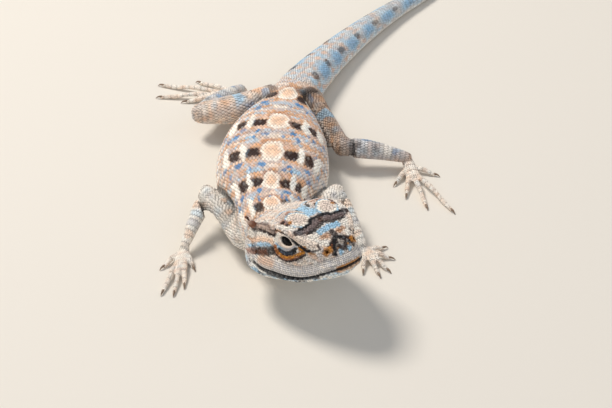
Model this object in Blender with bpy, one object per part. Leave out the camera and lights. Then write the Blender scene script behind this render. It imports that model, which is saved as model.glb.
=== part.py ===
# Sand agama, life size: a still model lying on the floor, head turned to its left.
# Shapes are worked out in millimetres on a floor at z = 0, with the head towards -Y, the tail towards +Y
# and the animal's left towards +X. The last step puts them in metres, with the middle of the floor
# area that the animal covers at the origin.
import math

import bmesh
import bpy
import numpy as np
from mathutils import Euler, Matrix, Vector

METRE = 0.001
GAP = 0.3
PLACE = (-9.26, -64.09)
FLOOR_DIP = 0.25

# Colours as linear red, green, blue, with roughness.
SKIN = ("agama_skin", (0.52, 0.38, 0.27), 0.75)
PALE_SKIN = ("agama_pale_skin", (0.62, 0.56, 0.48), 0.75)
TAIL_SKIN = ("agama_tail_skin", (0.45, 0.46, 0.47), 0.75)
EYE = ("agama_eye", (0.012, 0.009, 0.007), 0.08)

# The middle line of the trunk and tail, seen from above, from the neck to the tip of the tail.
SPINE_PATH = [
    (-6.2, -3.5), (-6.9, 2.0), (-7.3, 9.0), (-7.3, 16.0), (-7.1, 23.0), (-6.6, 31.0), (-5.6, 39.0),
    (-4.2, 46.5), (-2.0, 54.5), (1.6, 62.6), (6.6, 71.8), (12.9, 81.6), (20.3, 91.4), (28.3, 100.2),
    (36.2, 109.4), (43.0, 119.6), (48.0, 130.6), (51.3, 142.4), (52.8, 154.5),
]
# Distance along that line, half width, height of the back and height of the belly.
BODY_FORM = [
    (0.0, 6.0, 14.4, 3.6), (4.0, 7.0, 15.0, 2.6), (9.0, 8.3, 15.8, 1.5), (15.0, 10.4, 16.0, 0.5),
    (22.0, 11.8, 15.6, 0.0), (29.0, 11.9, 14.7, 0.0), (36.0, 11.0, 13.4, 0.0), (43.0, 9.1, 11.8, 0.0),
    (49.0, 6.9, 10.3, 0.0), (55.0, 5.6, 9.3, 0.0), (62.0, 4.85, 8.4, 0.0), (71.0, 4.2, 7.3, 0.0),
    (81.0, 3.5, 6.2, 0.0), (95.0, 2.7, 4.9, 0.0), (113.0, 1.9, 3.6, 0.0), (133.0, 1.25, 2.45, 0.0),
    (153.0, 0.75, 1.55, 0.0), (171.0, 0.42, 0.9, 0.0),
]
TAIL_CUTS = {"torso": (9.5, 53.0), "tail_base": (53.0, 76.0), "tail_middle": (76.0, 105.0),
             "tail_rear": (105.0, 137.0), "tail_tip": (137.0, 171.0)}
BODY_SIDES = {"torso": 30, "tail_base": 18, "tail_middle": 16, "tail_rear": 12, "tail_tip": 10}
BODY_STEP = {"torso": 3.0, "tail_base": 3.2, "tail_middle": 4.0, "tail_rear": 5.0, "tail_tip": 5.5}
# The neck runs from inside the head, round a bend, to inside the torso: share, half width, half height.
NECK_BEND, NECK_END = (-6.9, -2.0, 9.7), (-7.3, 7.4, 8.6)
NECK_FORM = [(0.0, 6.0, 5.4), (0.35, 6.6, 6.0), (0.68, 7.3, 6.7), (1.0, 8.6, 7.3)]

# The head has its own frame: forward from the ear, right, and up from the line of the jaw.
HEAD_AT = (-5.35, -4.6, 8.9)
HEAD_YAW, HEAD_PITCH, HEAD_ROLL = 40.0, -12.5, 2.5
# Forward station, height of the crown, half width and height of the brow, then the half widths at the
# temple, the lip and the jowl, and the height of the throat.
HEAD_FORM = [
    (-2.6, 5.6, 4.6, 4.9, 6.0, 6.7, 6.6, -3.2), (-0.5, 7.1, 5.5, 6.2, 6.8, 8.1, 8.3, -3.8),
    (2.0, 8.4, 6.1, 7.3, 7.4, 9.3, 9.8, -4.0), (5.0, 9.5, 6.7, 8.3, 7.8, 9.7, 10.1, -3.8),
    (8.5, 10.4, 7.2, 9.0, 8.0, 9.4, 9.5, -3.3), (11.5, 10.7, 7.5, 9.3, 8.0, 8.8, 8.7, -2.7),
    (14.0, 10.4, 7.4, 9.2, 7.6, 8.0, 7.8, -2.2), (16.5, 9.4, 6.1, 8.2, 6.4, 6.9, 6.7, -1.6),
    (18.7, 8.1, 4.5, 7.0, 5.0, 5.7, 5.4, -1.0), (20.5, 7.0, 3.3, 6.1, 3.9, 4.6, 4.3, -0.2),
    (21.8, 5.9, 2.1, 5.3, 2.7, 3.3, 3.0, 0.6), (22.6, 4.7, 0.9, 4.4, 1.2, 1.5, 1.3, 1.8),
]
MOUTH_LINE = [(-2.6, 1.4), (4.5, 1.2), (7.0, 0.7), (10.0, 0.65), (13.0, 0.5), (16.0, 0.65),
              (18.0, 1.2), (20.0, 2.1), (22.5, 3.0), (24.0, 3.2)]
HEAD_STATIONS = (-2.6, -0.6, 1.6, 3.8, 6.2, 8.6, 10.8, 12.8, 14.8, 16.6, 18.2, 19.7, 20.9, 21.8, 22.35, 22.6)
HEAD_SIDES = 36
JOWL_DROP = 2.0
LIP_FULLNESS, LIP_CREASE, LIP_HEIGHT = 0.12, 0.14, 0.75
SUPRAOCULAR_RISE = 0.3
JAW_BACK = 5.0

EYE_AT = (12.7, 4.9, 6.9)
EYE_RADIUS = 2.45
LID_THICKNESS = 0.55
LID_OPENING = (3.5, 1.9)
NOSTRIL_AT = (19.9, 3.3, 5.9)
NOSTRIL_RADIUS = 0.42
EAR_AT = (3.4, 8.7, 3.2)
EAR_RADIUS = 1.15
EAR_DEPTH = 1.4
# Pointed scales behind the temple and over the ear: root, tip and root radius.
HEAD_SPINES = (
    ((1.7, 5.7, 4.4), (-0.8, 6.9, 8.8), 1.45), ((0.6, 6.3, 4.2), (-0.8, 7.3, 5.6), 0.8),
    ((2.9, 7.7, 4.6), (2.0, 8.9, 5.5), 0.55),
)
SPINE_SHARE = {1: 1.0, -1: 0.72}

# Joints of the limbs: hip or shoulder, knee or elbow, ankle or wrist. The left side is at +X.
ARMS = {
    "right": ((-12.2, 1.8, 6.2), (-20.4, 13.1, 7.7), (-25.0, 2.2, 2.3)),
    "left": ((-2.0, 2.8, 6.2), (6.3, 13.9, 7.1), (11.6, 2.7, 2.3)),
}
LEGS = {
    "right": ((-7.0, 49.2, 5.4), (-23.1, 44.2, 5.9), (-14.8, 57.8, 2.9)),
    "left": ((0.2, 49.8, 5.0), (7.6, 32.4, 5.4), (21.9, 31.9, 2.9)),
}
# Radii from root to end. The right thigh is drawn up, so that its muscle stands out more.
UPPER_ARM_RADII = {"right": (3.8, 3.2, 2.55, 2.05), "left": (3.8, 3.2, 2.55, 2.05)}
FOREARM_RADII = (1.9, 1.85, 1.5, 1.1)
THIGH_RADII = {"right": (4.2, 3.6, 3.2, 2.45), "left": (4.0, 3.1, 2.6, 2.25)}
SHIN_RADII = (2.15, 2.25, 1.85, 1.35)

# Tips of the five digits of each foot, first to fifth, on the floor.
FINGER_TIPS = {
    "right": ((-22.6, -3.4), (-24.6, -9.0), (-26.7, -11.4), (-29.2, -11.1), (-29.9, -3.0)),
    "left": ((11.6, -4.6), (15.2, -5.6), (17.4, -4.0), (18.4, 0.4), (17.0, 4.4)),
}
TOE_TIPS = {
    "right": ((-23.0, 54.8), (-28.4, 56.3), (-34.2, 58.2), (-34.0, 63.2), (-25.4, 64.6)),
    "left": ((18.8, 25.0), (21.3, 20.6), (25.8, 16.8), (31.5, 15.5), (29.0, 28.6)),
}
PALM_LENGTH, PALM_WIDTH, PALM_THICKNESS = 3.0, 2.6, 1.6
SOLE_LENGTH, SOLE_WIDTH, SOLE_THICKNESS = 4.4, 3.0, 1.9
DIGIT_RADII = (0.70, 0.56, 0.60, 0.47, 0.51, 0.38)
CLAW_LENGTH = 1.4
CLAW_RADIUS = 0.26


def smooth(keys, at):
    """Value at a place on the smooth curve through (place, value, ...) keys."""
    table = np.array(keys, float)
    place, value = table[:, 0], table[:, 1:]
    slope = np.gradient(value, place, axis=0)
    at = min(max(at, place[0]), place[-1])
    i = min(int(np.searchsorted(place, at, side="right")) - 1, len(place) - 2)
    span = place[i + 1] - place[i]
    t = (at - place[i]) / span
    return ((2 * t**3 - 3 * t**2 + 1) * value[i] + (t**3 - 2 * t**2 + t) * span * slope[i]
            + (3 * t**2 - 2 * t**3) * value[i + 1] + (t**3 - t**2) * span * slope[i + 1])


def with_distance(points):
    """The points of a line, each led by its distance along the line."""
    steps = [0.0] + [math.dist(a, b) for a, b in zip(points, points[1:])]
    return [(d, *p) for d, p in zip(np.cumsum(steps), points)]


def material(look):
    name, colour, roughness = look
    found = bpy.data.materials.get(name)
    if found:
        return found
    made = bpy.data.materials.new(name)
    made.use_nodes = True
    shader = made.node_tree.nodes["Principled BSDF"]
    shader.inputs["Base Color"].default_value = (*colour, 1.0)
    shader.inputs["Roughness"].default_value = roughness
    return made


def put(name, bm, look):
    """A scene object from a bmesh, its faces turned outwards."""
    bmesh.ops.recalc_face_normals(bm, faces=bm.faces)
    mesh = bpy.data.meshes.new(name)
    bm.to_mesh(mesh)
    bm.free()
    mesh.materials.append(material(look))
    obj = bpy.data.objects.new(name, mesh)
    bpy.context.scene.collection.objects.link(obj)
    return obj


def loft(name, rings, look):
    """A closed solid through rings of points, all of one count, its two ends filled."""
    bm = bmesh.new()
    ring = bmesh.ops.create_circle(bm, segments=len(rings[0]), radius=1.0)["verts"]
    first = list(ring)
    for vert, point in zip(ring, rings[0]):
        vert.co = point
    for points in rings[1:]:
        edges = [bm.edges.get((a, b)) for a, b in zip(ring, ring[1:] + ring[:1])]
        new = set(bmesh.ops.extrude_edge_only(bm, edges=edges)["geom"])
        ring = [next(e.other_vert(v) for e in v.link_edges if e.other_vert(v) in new) for v in ring]
        for vert, point in zip(ring, points):
            vert.co = point
    for end in (first, ring):
        edges = [bm.edges.get((a, b)) for a, b in zip(end, end[1:] + end[:1])]
        bmesh.ops.contextual_create(bm, geom=edges)
    return put(name, bm, look)


def oval(middle, side, up, half_width, rise, drop, count, square=2.0):
    """A ring about a middle point. A square value above 2 fills the corners of the oval."""
    points = []
    for k in range(count):
        angle = 2 * math.pi * k / count
        c, s = math.cos(angle), math.sin(angle)
        across = math.copysign(abs(c) ** (2 / square), c) * half_width
        height = math.copysign(abs(s) ** (2 / square), s) * (rise if s > 0 else drop)
        points.append(Vector(middle) + Vector(side) * across + Vector(up) * height)
    return points


def on_floor(points):
    """Points pressed flat where they would reach below the floor."""
    return [Vector((p.x, p.y, max(p.z, 0.0))) for p in points]


def spread(start, end, step):
    return np.linspace(start, end, max(2, round((end - start) / step) + 1))


def body_rings(start, end, step, count, grow=0.0):
    """Rings of the trunk or tail between two distances along the spine."""
    path = with_distance(SPINE_PATH)
    rings = []
    for at in spread(start, end, step):
        x, y = smooth(path, at)
        ahead, behind = smooth(path, at + 0.5), smooth(path, at - 0.5)
        along = Vector((*(ahead - behind), 0.0)).normalized()
        side = Vector((0.0, 0.0, 1.0)).cross(along)
        width, top, bottom = smooth(BODY_FORM, at)
        middle = bottom + 0.42 * (top - bottom)
        ring = oval((x, y, middle), side, (0, 0, 1), width + grow, top - middle + grow,
                    middle - bottom + grow + (FLOOR_DIP if bottom < 0.4 else 0.0), count, 2.25)
        rings.append(ring if grow else on_floor(ring))
    return rings


def head_pose():
    turn = (Matrix.Rotation(math.radians(HEAD_YAW), 4, "Z") @ Matrix.Rotation(math.radians(HEAD_PITCH), 4, "X")
            @ Matrix.Rotation(math.radians(HEAD_ROLL), 4, "Y"))
    return Matrix.Translation(HEAD_AT) @ turn


def head_point(forward, right, up):
    return head_pose() @ Vector((-right, -forward, up))


def head_section(forward, grow=0.0):
    """The outline of the head across one station: crown, brow, temple, lip, jowl and throat."""
    crown, brow, brow_up, temple, lip, jowl, throat = smooth(HEAD_FORM, forward)
    mouth = smooth(MOUTH_LINE, forward)[0]
    rise = SUPRAOCULAR_RISE * max(0.0, 1.0 - ((forward - 10.5) / 6.0) ** 2)
    drop = min(JOWL_DROP, 0.45 * (mouth - throat))
    near_mouth = min(max((forward - JAW_BACK + 1.0) / 2.0, 0.0), 1.0)
    full = LIP_FULLNESS * near_mouth * min(1.0, lip / 3.0)
    half = [
        (0.0, crown), (0.52 * brow, crown - 0.1 * (crown - brow_up) + rise), (brow, brow_up),
        (temple, 0.5 * brow_up + 0.5 * mouth), (lip + full, mouth + min(LIP_HEIGHT, 0.2 * (brow_up - mouth))),
        (lip - LIP_CREASE * near_mouth, mouth), (0.7 * lip + 0.3 * jowl + full, mouth - 0.35 * drop),
        (jowl, mouth - drop), (0.66 * jowl, 0.18 * mouth + 0.82 * throat), (0.0, throat),
    ]
    outline = half + [(-x, z) for x, z in half[-2:0:-1]]
    count = len(outline)
    points = []
    for k in range(HEAD_SIDES):
        place = k * count / HEAD_SIDES
        i, t = int(place), place % 1.0
        before, a, b, after = (np.array(outline[(i + n) % count]) for n in (-1, 0, 1, 2))
        x, z = 0.5 * (2 * a + (b - before) * t + (2 * before - 5 * a + 4 * b - after) * t**2
                      + (3 * a - before - 3 * b + after) * t**3)
        out = Vector((x, z - 0.5 * (crown + throat)))
        out = out.normalized() * grow if grow else Vector((0.0, 0.0))
        points.append(head_point(forward, x + out.x, z + out.y))
    return points


def head_loft(name, grow=0.0):
    rings = [head_section(forward, grow) for forward in HEAD_STATIONS]
    if grow:
        rings[0] = head_section(HEAD_STATIONS[0] - grow, grow)
    return loft(name, rings, SKIN)


def limb_rings(points, radii, count, flat=1.0, grow=0.0, pressed=True, steps=None, ends=(0.6, 1.15)):
    """Rings of a limb along a smooth line through its points, with rounded ends."""
    path = with_distance(points)
    length = path[-1][0]
    sizes = [(length * k / (len(radii) - 1), r) for k, r in enumerate(radii)]
    places = list(np.linspace(0.0, length, steps or 2 * len(radii)))
    rings = []
    for at in places:
        middle = Vector(smooth(path, at))
        along = Vector(smooth(path, min(at + 0.2, length)) - smooth(path, max(at - 0.2, 0.0))).normalized()
        side = along.cross(Vector((0, 0, 1))).normalized()
        up = side.cross(along)
        radius = smooth(sizes, at)[0] + grow
        rings.append((middle, along, side, up, radius))
    ringed = []
    for cap, (middle, along, side, up, radius) in ((-1, rings[0]), (1, rings[-1])):
        domed = [(middle + along * cap * radius * math.sin(a), radius * math.cos(a)) for a in ends]
        ringed.append([oval(m, side, up, r, r * flat, r * flat, count) for m, r in domed])
    body = [oval(m, s, u, r, r * flat, r * flat, count) for m, _, s, u, r in rings]
    whole = ringed[0][::-1] + body + ringed[1]
    return [on_floor(ring) for ring in whole] if pressed else whole


def moved(collection_name, objects):
    """A collection that holds only these helper objects."""
    group = bpy.data.collections.new(collection_name)
    bpy.context.scene.collection.children.link(group)
    for obj in objects:
        for old in list(obj.users_collection):
            old.objects.unlink(obj)
        group.objects.link(obj)
    return group


def apply_boolean(target, others, operation, solver="EXACT"):
    """Joins the other solids to the target, or cuts them from it, and removes them."""
    group = moved("helpers", others)
    step = target.modifiers.new(operation.lower(), "BOOLEAN")
    step.operation = operation
    step.operand_type = "COLLECTION"
    step.collection = group
    step.solver = solver
    graph = bpy.context.evaluated_depsgraph_get()
    mesh = bpy.data.meshes.new_from_object(target.evaluated_get(graph))
    target.modifiers.remove(step)
    target.data = mesh
    for obj in others:
        bpy.data.objects.remove(obj)
    bpy.data.collections.remove(group)
    return keep_largest(target)


def keep_largest(obj):
    """Drops every loose scrap but the largest closed surface."""
    bm = bmesh.new()
    bm.from_mesh(obj.data)
    left, bodies = set(bm.faces), []
    while left:
        queue, found = [left.pop()], set()
        while queue:
            face = queue.pop()
            found.add(face)
            near = {f for e in face.edges for f in e.link_faces} & left
            left -= near
            queue += near
        bodies.append(found)
    largest = max(bodies, key=lambda faces: sum(f.calc_area() for f in faces))
    bmesh.ops.delete(bm, geom=[f for f in bm.faces if f not in largest], context="FACES")
    bm.to_mesh(obj.data)
    bm.free()
    return obj


def fuse(target, others):
    return apply_boolean(target, others, "UNION")


def cut(target, others):
    return apply_boolean(target, others, "DIFFERENCE")


def ball(name, middle, radii, look=SKIN, turn=None, detail=(16, 10)):
    bm = bmesh.new()
    place = Matrix.Translation(middle) @ (turn or Matrix.Identity(4)) @ Matrix.Diagonal((*radii, 1.0))
    bmesh.ops.create_uvsphere(bm, u_segments=detail[0], v_segments=detail[1], radius=1.0, matrix=place)
    return put(name, bm, look)


def spine(name, root, tip, radius, look=SKIN):
    """A pointed scale as a cone, from its sunken root to its tip."""
    bm = bmesh.new()
    root, tip = Vector(root), Vector(tip)
    turn = (tip - root).to_track_quat("Z", "Y").to_matrix().to_4x4()
    place = Matrix.Translation((root + tip) / 2) @ turn
    bmesh.ops.create_cone(bm, cap_ends=True, segments=5, radius1=radius, radius2=0.1 * radius,
                          depth=(tip - root).length, matrix=place)
    return put(name, bm, look)


def head_spines(sign, grow=0.0):
    """The pointed scales behind one temple."""
    made = []
    for root, tip, radius in HEAD_SPINES:
        tip = Vector(root).lerp(Vector(tip), SPINE_SHARE[sign])
        root, tip = head_point(root[0], sign * root[1], root[2]), head_point(tip.x, sign * tip.y, tip.z)
        out = (tip - root).normalized() * 2.0 * grow
        made.append(spine("temple_spine", root, tip + out, radius + grow))
    return made


def mouth_block(grow):
    """The space below the line of the mouth, wider than the head, which parts the lower jaw from it."""
    keys = (JAW_BACK, 7.0, 9.0, 11.0, 13.5, 16.0, 18.0, 20.0, 22.0, 24.0)
    line = [(f, smooth(MOUTH_LINE, f)[0] + grow) for f in keys]
    line[0] = (JAW_BACK - grow, line[0][1])
    outline = line + [(24.0, -9.0), (JAW_BACK - 3.6 - grow, -9.0)]
    wide = 12.0
    rings = [[head_point(f, side, u) for f, u in outline] for side in (-wide, wide)]
    return loft("mouth_block", rings, PALE_SKIN)


def eye_middle(sign):
    forward, right, up = EYE_AT
    return head_point(forward, right * sign, up)


def eye_turn(sign):
    """Turns +Z to look out of the eye: outwards, a little forwards and up, the lids along the head."""
    out = (head_point(0.22, sign * 0.93, 0.30) - head_point(0, 0, 0)).normalized()
    along = (head_point(1.0, 0, -0.30) - head_point(0, 0, 0)).normalized()
    along = (along - out * along.dot(out)).normalized()
    across = out.cross(along)
    turn = Matrix((along, across, out)).transposed().to_4x4()
    return turn


def lid_opening(sign):
    """A cutter with the almond outline of the opening between the lids."""
    half_long, half_high = LID_OPENING[0] / 2, LID_OPENING[1] / 2
    place = Matrix.Translation(eye_middle(sign)) @ eye_turn(sign)
    rings = []
    for height, scale in ((0.6, 0.85), (EYE_RADIUS + LID_THICKNESS + 0.8, 1.15)):
        ring = []
        for k in range(14):
            angle = 2 * math.pi * k / 14
            x = half_long * math.cos(angle)
            y = half_high * math.sin(angle) * abs(math.sin(angle)) ** 0.35
            ring.append(place @ Vector((x * scale, y * scale, height)))
        rings.append(ring)
    return loft("lid_opening", rings, SKIN)


def make_head():
    head = head_loft("head")
    lids, sockets = [], []
    for sign in (1, -1):
        turn = eye_turn(sign)
        lid = EYE_RADIUS + GAP + LID_THICKNESS
        lids.append(ball("lids", eye_middle(sign), (lid * 1.06, lid * 0.96, lid), turn=turn))
        brow = [head_point(f, sign * r, u) for f, r, u in
                ((6.6, 6.4, 8.2), (9.4, 6.85, 8.8), (12.2, 7.0, 8.9), (14.6, 6.4, 8.4), (17.4, 4.7, 7.2))]
        lids.append(loft("brow", limb_rings(brow, (0.5, 0.8, 0.9, 0.75, 0.45), 8, pressed=False, steps=6,
                                            ends=(0.9,)), SKIN))
        rim_turn = Matrix.Rotation(math.radians(HEAD_YAW), 4, "Z")
        ear_rim = EAR_RADIUS + 0.5
        lids.append(ball("ear_rim", head_point(EAR_AT[0], sign * (EAR_AT[1] - 0.75), EAR_AT[2]),
                         (1.15, ear_rim, ear_rim), turn=rim_turn, detail=(12, 8)))
        lids.append(ball("nostril_rim", head_point(NOSTRIL_AT[0], sign * (NOSTRIL_AT[1] - 0.5), NOSTRIL_AT[2]),
                         (0.9, 0.9, 0.8), turn=rim_turn, detail=(10, 6)))
        lids += head_spines(sign)
        sockets.append(ball("socket", eye_middle(sign), (EYE_RADIUS + GAP,) * 3, turn=turn))
        sockets.append(lid_opening(sign))
        sockets.append(ball("ear_cup", head_point(EAR_AT[0], sign * (EAR_AT[1] + 0.2), EAR_AT[2]),
                            (EAR_DEPTH, EAR_RADIUS, EAR_RADIUS), turn=rim_turn, detail=(12, 8)))
        nostril_out = head_point(NOSTRIL_AT[0] + 0.9, sign * (NOSTRIL_AT[1] + 0.9), NOSTRIL_AT[2] + 0.6)
        nostril_in = head_point(NOSTRIL_AT[0] - 0.5, sign * (NOSTRIL_AT[1] - 0.8), NOSTRIL_AT[2] - 0.3)
        rings = limb_rings([nostril_in, nostril_out], (NOSTRIL_RADIUS * 0.8, NOSTRIL_RADIUS * 1.2), 8,
                           pressed=False, steps=2, ends=(0.9,))
        sockets.append(loft("nostril", rings, SKIN))
    fuse(head, lids)
    cut(head, sockets + [mouth_block(GAP / 2)])
    jaw = head_loft("lower_jaw")
    jaw.data.materials[0] = material(PALE_SKIN)
    apply_boolean(jaw, [mouth_block(-GAP / 2)], "INTERSECT")
    eyes = [ball(f"eye_{side}", eye_middle(sign), (EYE_RADIUS,) * 3, EYE, eye_turn(sign), (18, 12))
            for side, sign in (("right", 1), ("left", -1))]
    return [head, jaw, *eyes]


def neck_rings(grow=0.0):
    """Rings round the bend of the neck, each turned a little more from the head's line to the trunk's."""
    start, bend, end = head_point(1.2, 0, 2.2), Vector(NECK_BEND), Vector(NECK_END)
    rings = []
    for share in np.linspace(0.0, 1.0, 7):
        middle = start.lerp(bend, share).lerp(bend.lerp(end, share), share)
        heading = math.radians(HEAD_YAW) * (1.0 - share)
        side = (math.cos(heading), math.sin(heading), 0.0)
        half_width, half_height = smooth(NECK_FORM, share) + grow
        rings.append(oval(middle, side, (0, 0, 1), half_width, half_height, half_height, 24, 2.25))
    return rings


def make_body():
    """The torso, the neck and the lengths of the tail."""
    nodes = []
    for name, (start, end) in TAIL_CUTS.items():
        begin = start + (GAP / 2 if start else 0.0)
        look = SKIN if name in ("torso", "tail_base") else TAIL_SKIN
        rings = body_rings(begin, end - GAP / 2, BODY_STEP[name], BODY_SIDES[name])
        nodes.append(loft(name, rings, look))
    neck = loft("neck", neck_rings(), SKIN)
    cut(neck, [loft("torso_space", body_rings(TAIL_CUTS["torso"][0] - GAP, 30.0, 3.0, 30, GAP), SKIN)])
    return nodes, neck


def digit(name, base, tip, arch, look):
    """One toe with its claw: knuckles along the toe, the end pressed to the floor."""
    base, tip = Vector(base), Vector((*tip, 0.0))
    out = Vector((tip.x - base.x, tip.y - base.y, 0.0))
    reach = out.length - CLAW_LENGTH
    out.normalize()
    heights = (base.z, base.z + 0.25 * arch, 0.85 + 0.45 * arch, 0.7, 0.45)
    points = [Vector((base.x, base.y, 0)) + out * reach * k / 4 + Vector((0, 0, h)) for k, h in enumerate(heights)]
    toe = loft(name, limb_rings(points, DIGIT_RADII, 7, steps=6, ends=(0.9,)), look)
    end = points[-1]
    line = [end - out * 0.5 + Vector((0, 0, 0.1)), end + out * 0.45 + Vector((0, 0, 0.2)),
            end + out * 1.0 + Vector((0, 0, 0.08)), end + out * CLAW_LENGTH + Vector((0, 0, -0.25))]
    claw = loft(name + "_claw", limb_rings(line, (CLAW_RADIUS, 0.3, 0.2, 0.09), 5, steps=4, ends=(0.9,)), look)
    return [toe, claw]


def make_foot(name, ankle, tips, sole, look):
    """A hand or foot: the sole with its five clawed digits."""
    length, width, thickness = sole
    ankle = Vector(ankle)
    third = sum((Vector((*t, 0.0)) for t in tips[1:4]), Vector()) / 3
    out = Vector((third.x - ankle.x, third.y - ankle.y, 0.0)).normalized()
    inner = Vector((*tips[0], 0.0)) - Vector((*tips[4], 0.0))
    side = Vector((-out.y, out.x, 0.0))
    side *= 1 if side.dot(inner) > 0 else -1
    heel, ball_of_foot = ankle - out * 0.6, ankle + out * length
    heel.z, ball_of_foot.z = ankle.z - 0.5, 0.5 * thickness + 0.1
    rings = []
    for k, (share, half) in enumerate(((-0.1, 0.30), (0.08, 0.42), (0.45, 0.45), (0.8, 0.5), (1.0, 0.44), (1.12, 0.26))):
        middle = heel.lerp(ball_of_foot, share)
        high = 0.5 * thickness * (1.25 - 0.45 * max(share, 0.0)) * (1.0 if 0 < k < 5 else 0.6)
        rings.append(on_floor(oval(middle, side, (0, 0, 1), half * width, high, high + 0.3, 12)))
    foot = loft(name, rings, look)
    pieces = []
    for k, tip in enumerate(tips):
        across = (0.40, 0.22, 0.0, -0.22, -0.42)[k] * width
        along = (0.50, 0.78, 0.90, 0.80, 0.40)[k] * length
        base = ankle + out * along + side * across
        base.z = 0.95
        pieces += digit(f"{name}_digit_{k + 1}", base, tip, (0.5, 0.7, 0.9, 0.9, 0.6)[k], look)
    return fuse(foot, pieces)


def middle_of(a, b, share, lift=0.0):
    return Vector(a).lerp(Vector(b), share) + Vector((0.0, 0.0, lift))


def make_limbs():
    """The limbs, each cut back where it meets the trunk, the neck, the head or its own next part."""
    nodes = []
    for joints, names, radii, tips, sole, look in (
        (ARMS, ("upper_arm", "forearm", "hand"), (UPPER_ARM_RADII, FOREARM_RADII), FINGER_TIPS,
         (PALM_LENGTH, PALM_WIDTH, PALM_THICKNESS), SKIN),
        (LEGS, ("thigh", "shin", "foot"), (THIGH_RADII, SHIN_RADII), TOE_TIPS,
         (SOLE_LENGTH, SOLE_WIDTH, SOLE_THICKNESS), SKIN),
    ):
        for side, (root, bend, end) in joints.items():
            upper_line = [Vector(root), middle_of(root, bend, 0.5, 0.3), Vector(bend)]
            lower_line = [Vector(bend), middle_of(bend, end, 0.5, 0.5), Vector(end)]
            if (names[0], side) == ("thigh", "right"):
                upper_line[1].y -= 0.9
            upper = loft(f"{names[0]}_{side}", limb_rings(upper_line, radii[0][side], 14), look)
            lower = loft(f"{names[1]}_{side}", limb_rings(lower_line, radii[1], 12), look)
            foot = make_foot(f"{names[2]}_{side}", end, tips[side], sole, look)
            cut(upper, [loft("torso_space", body_rings(TAIL_CUTS["torso"][0] - GAP, 70.0, 2.5, 30, GAP), SKIN)])
            if names[0] == "upper_arm":
                cut(upper, [loft("neck_space", neck_rings(GAP), SKIN)])
                cut(upper, [head_loft("head_space", GAP)])
            cut(lower, [loft("upper_space", limb_rings(upper_line, radii[0][side], 14, grow=GAP, pressed=False), look)])
            cut(foot, [loft("lower_space", limb_rings(lower_line, radii[1], 12, grow=GAP, pressed=False), look)])
            nodes += [upper, lower, foot]
    return nodes


def finish(nodes):
    """Puts every node in metres, under one empty that stands on the floor at the origin."""
    base = bpy.data.objects.new("agama", None)
    bpy.context.scene.collection.objects.link(base)
    base.location = (PLACE[0] * METRE, PLACE[1] * METRE, 0.0)
    for obj in nodes:
        middle = sum((v.co for v in obj.data.vertices), Vector()) / len(obj.data.vertices)
        obj.data.transform(Matrix.Translation(-middle))
        obj.data.transform(Matrix.Scale(METRE, 4))
        obj.location = middle * METRE
        obj.parent = base
        obj.data.shade_smooth()
        obj.data.set_sharp_from_angle(angle=math.radians(50))


def main():
    for obj in list(bpy.data.objects):
        bpy.data.objects.remove(obj)
    body, neck = make_body()
    head = make_head()
    cut(neck, [head_loft("head_space", GAP), *head_spines(1, GAP), *head_spines(-1, GAP)])
    finish([*body, neck, *head, *make_limbs()])


main()
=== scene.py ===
import math

import bmesh
import bpy
import numpy as np
from mathutils import Matrix, Vector
from mathutils.bvhtree import BVHTree
from mathutils.kdtree import KDTree


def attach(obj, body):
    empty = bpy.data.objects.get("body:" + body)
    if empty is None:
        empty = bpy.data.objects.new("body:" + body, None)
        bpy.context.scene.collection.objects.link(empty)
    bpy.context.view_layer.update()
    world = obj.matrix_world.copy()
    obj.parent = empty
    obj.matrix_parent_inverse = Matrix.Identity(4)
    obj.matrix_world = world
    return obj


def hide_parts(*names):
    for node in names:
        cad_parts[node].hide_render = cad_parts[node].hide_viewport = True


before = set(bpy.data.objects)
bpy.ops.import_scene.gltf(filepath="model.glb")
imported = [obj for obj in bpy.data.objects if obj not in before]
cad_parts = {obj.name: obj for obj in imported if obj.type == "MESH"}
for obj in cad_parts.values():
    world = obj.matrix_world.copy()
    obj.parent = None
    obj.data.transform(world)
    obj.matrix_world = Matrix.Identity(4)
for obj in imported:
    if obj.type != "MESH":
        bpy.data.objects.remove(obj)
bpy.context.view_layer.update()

# Shapes are worked out in millimetres on the animal's own floor, and go to the row's metres at the end.
rowShift = Vector((-9.26, -64.09, 0.0))
toRow = Matrix.Scale(0.001, 4) @ Matrix.Translation(rowShift)
upward = np.array((0.0, 0.0, 1.0))

# camera, floor and lamps
studio = {
    "target": (0.0, 0.0, 15.0), "viewDistance": 412.0, "viewHeight": 38.0, "lens": 120.59,
    "floorSize": 3.0, "floorColour": "#E8E2D8", "floorRoughness": 0.9, "lampTarget": (5.0, 25.0, 5.0),
    "lamps": {  # place in millimetres from the animal, size in metres, watts and colour
        "keyLamp": ((-320.0, 260.0, 620.0), 0.24, 4.2, "#FFF9F1"),
        "frontLamp": ((-60.0, -620.0, 420.0), 0.60, 0.95, "#F4F8FF"),
        "sideLamp": ((520.0, -60.0, 380.0), 0.50, 0.40, "#F6F8FF"),
    },
    "sky": ("#EEF2F8", 0.36),
}


def linear(code, alpha=1.0):
    parts = [int(code[i:i + 2], 16) / 255 for i in (1, 3, 5)]
    return (*[p / 12.92 if p <= 0.04045 else ((p + 0.055) / 1.055) ** 2.4 for p in parts], alpha)


def setInputs(node, values):
    for socket, value in values.items():
        node.inputs[socket].default_value = value


def addNode(tree, kind, settings=None, values=None, links=None):
    node = tree.nodes.new("ShaderNode" + kind)
    for name, value in (settings or {}).items():
        setattr(node, name, value)
    setInputs(node, values or {})
    for socket, source in (links or {}).items():
        tree.links.new(source, node.inputs[socket])
    return node


def newMaterial(name):
    made = bpy.data.materials.new(name)
    made.use_nodes = True
    return made, made.node_tree, made.node_tree.nodes["Principled BSDF"]


def newObject(name, data):
    made = bpy.data.objects.new(name, data)
    bpy.context.scene.collection.objects.link(made)
    return made


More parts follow.
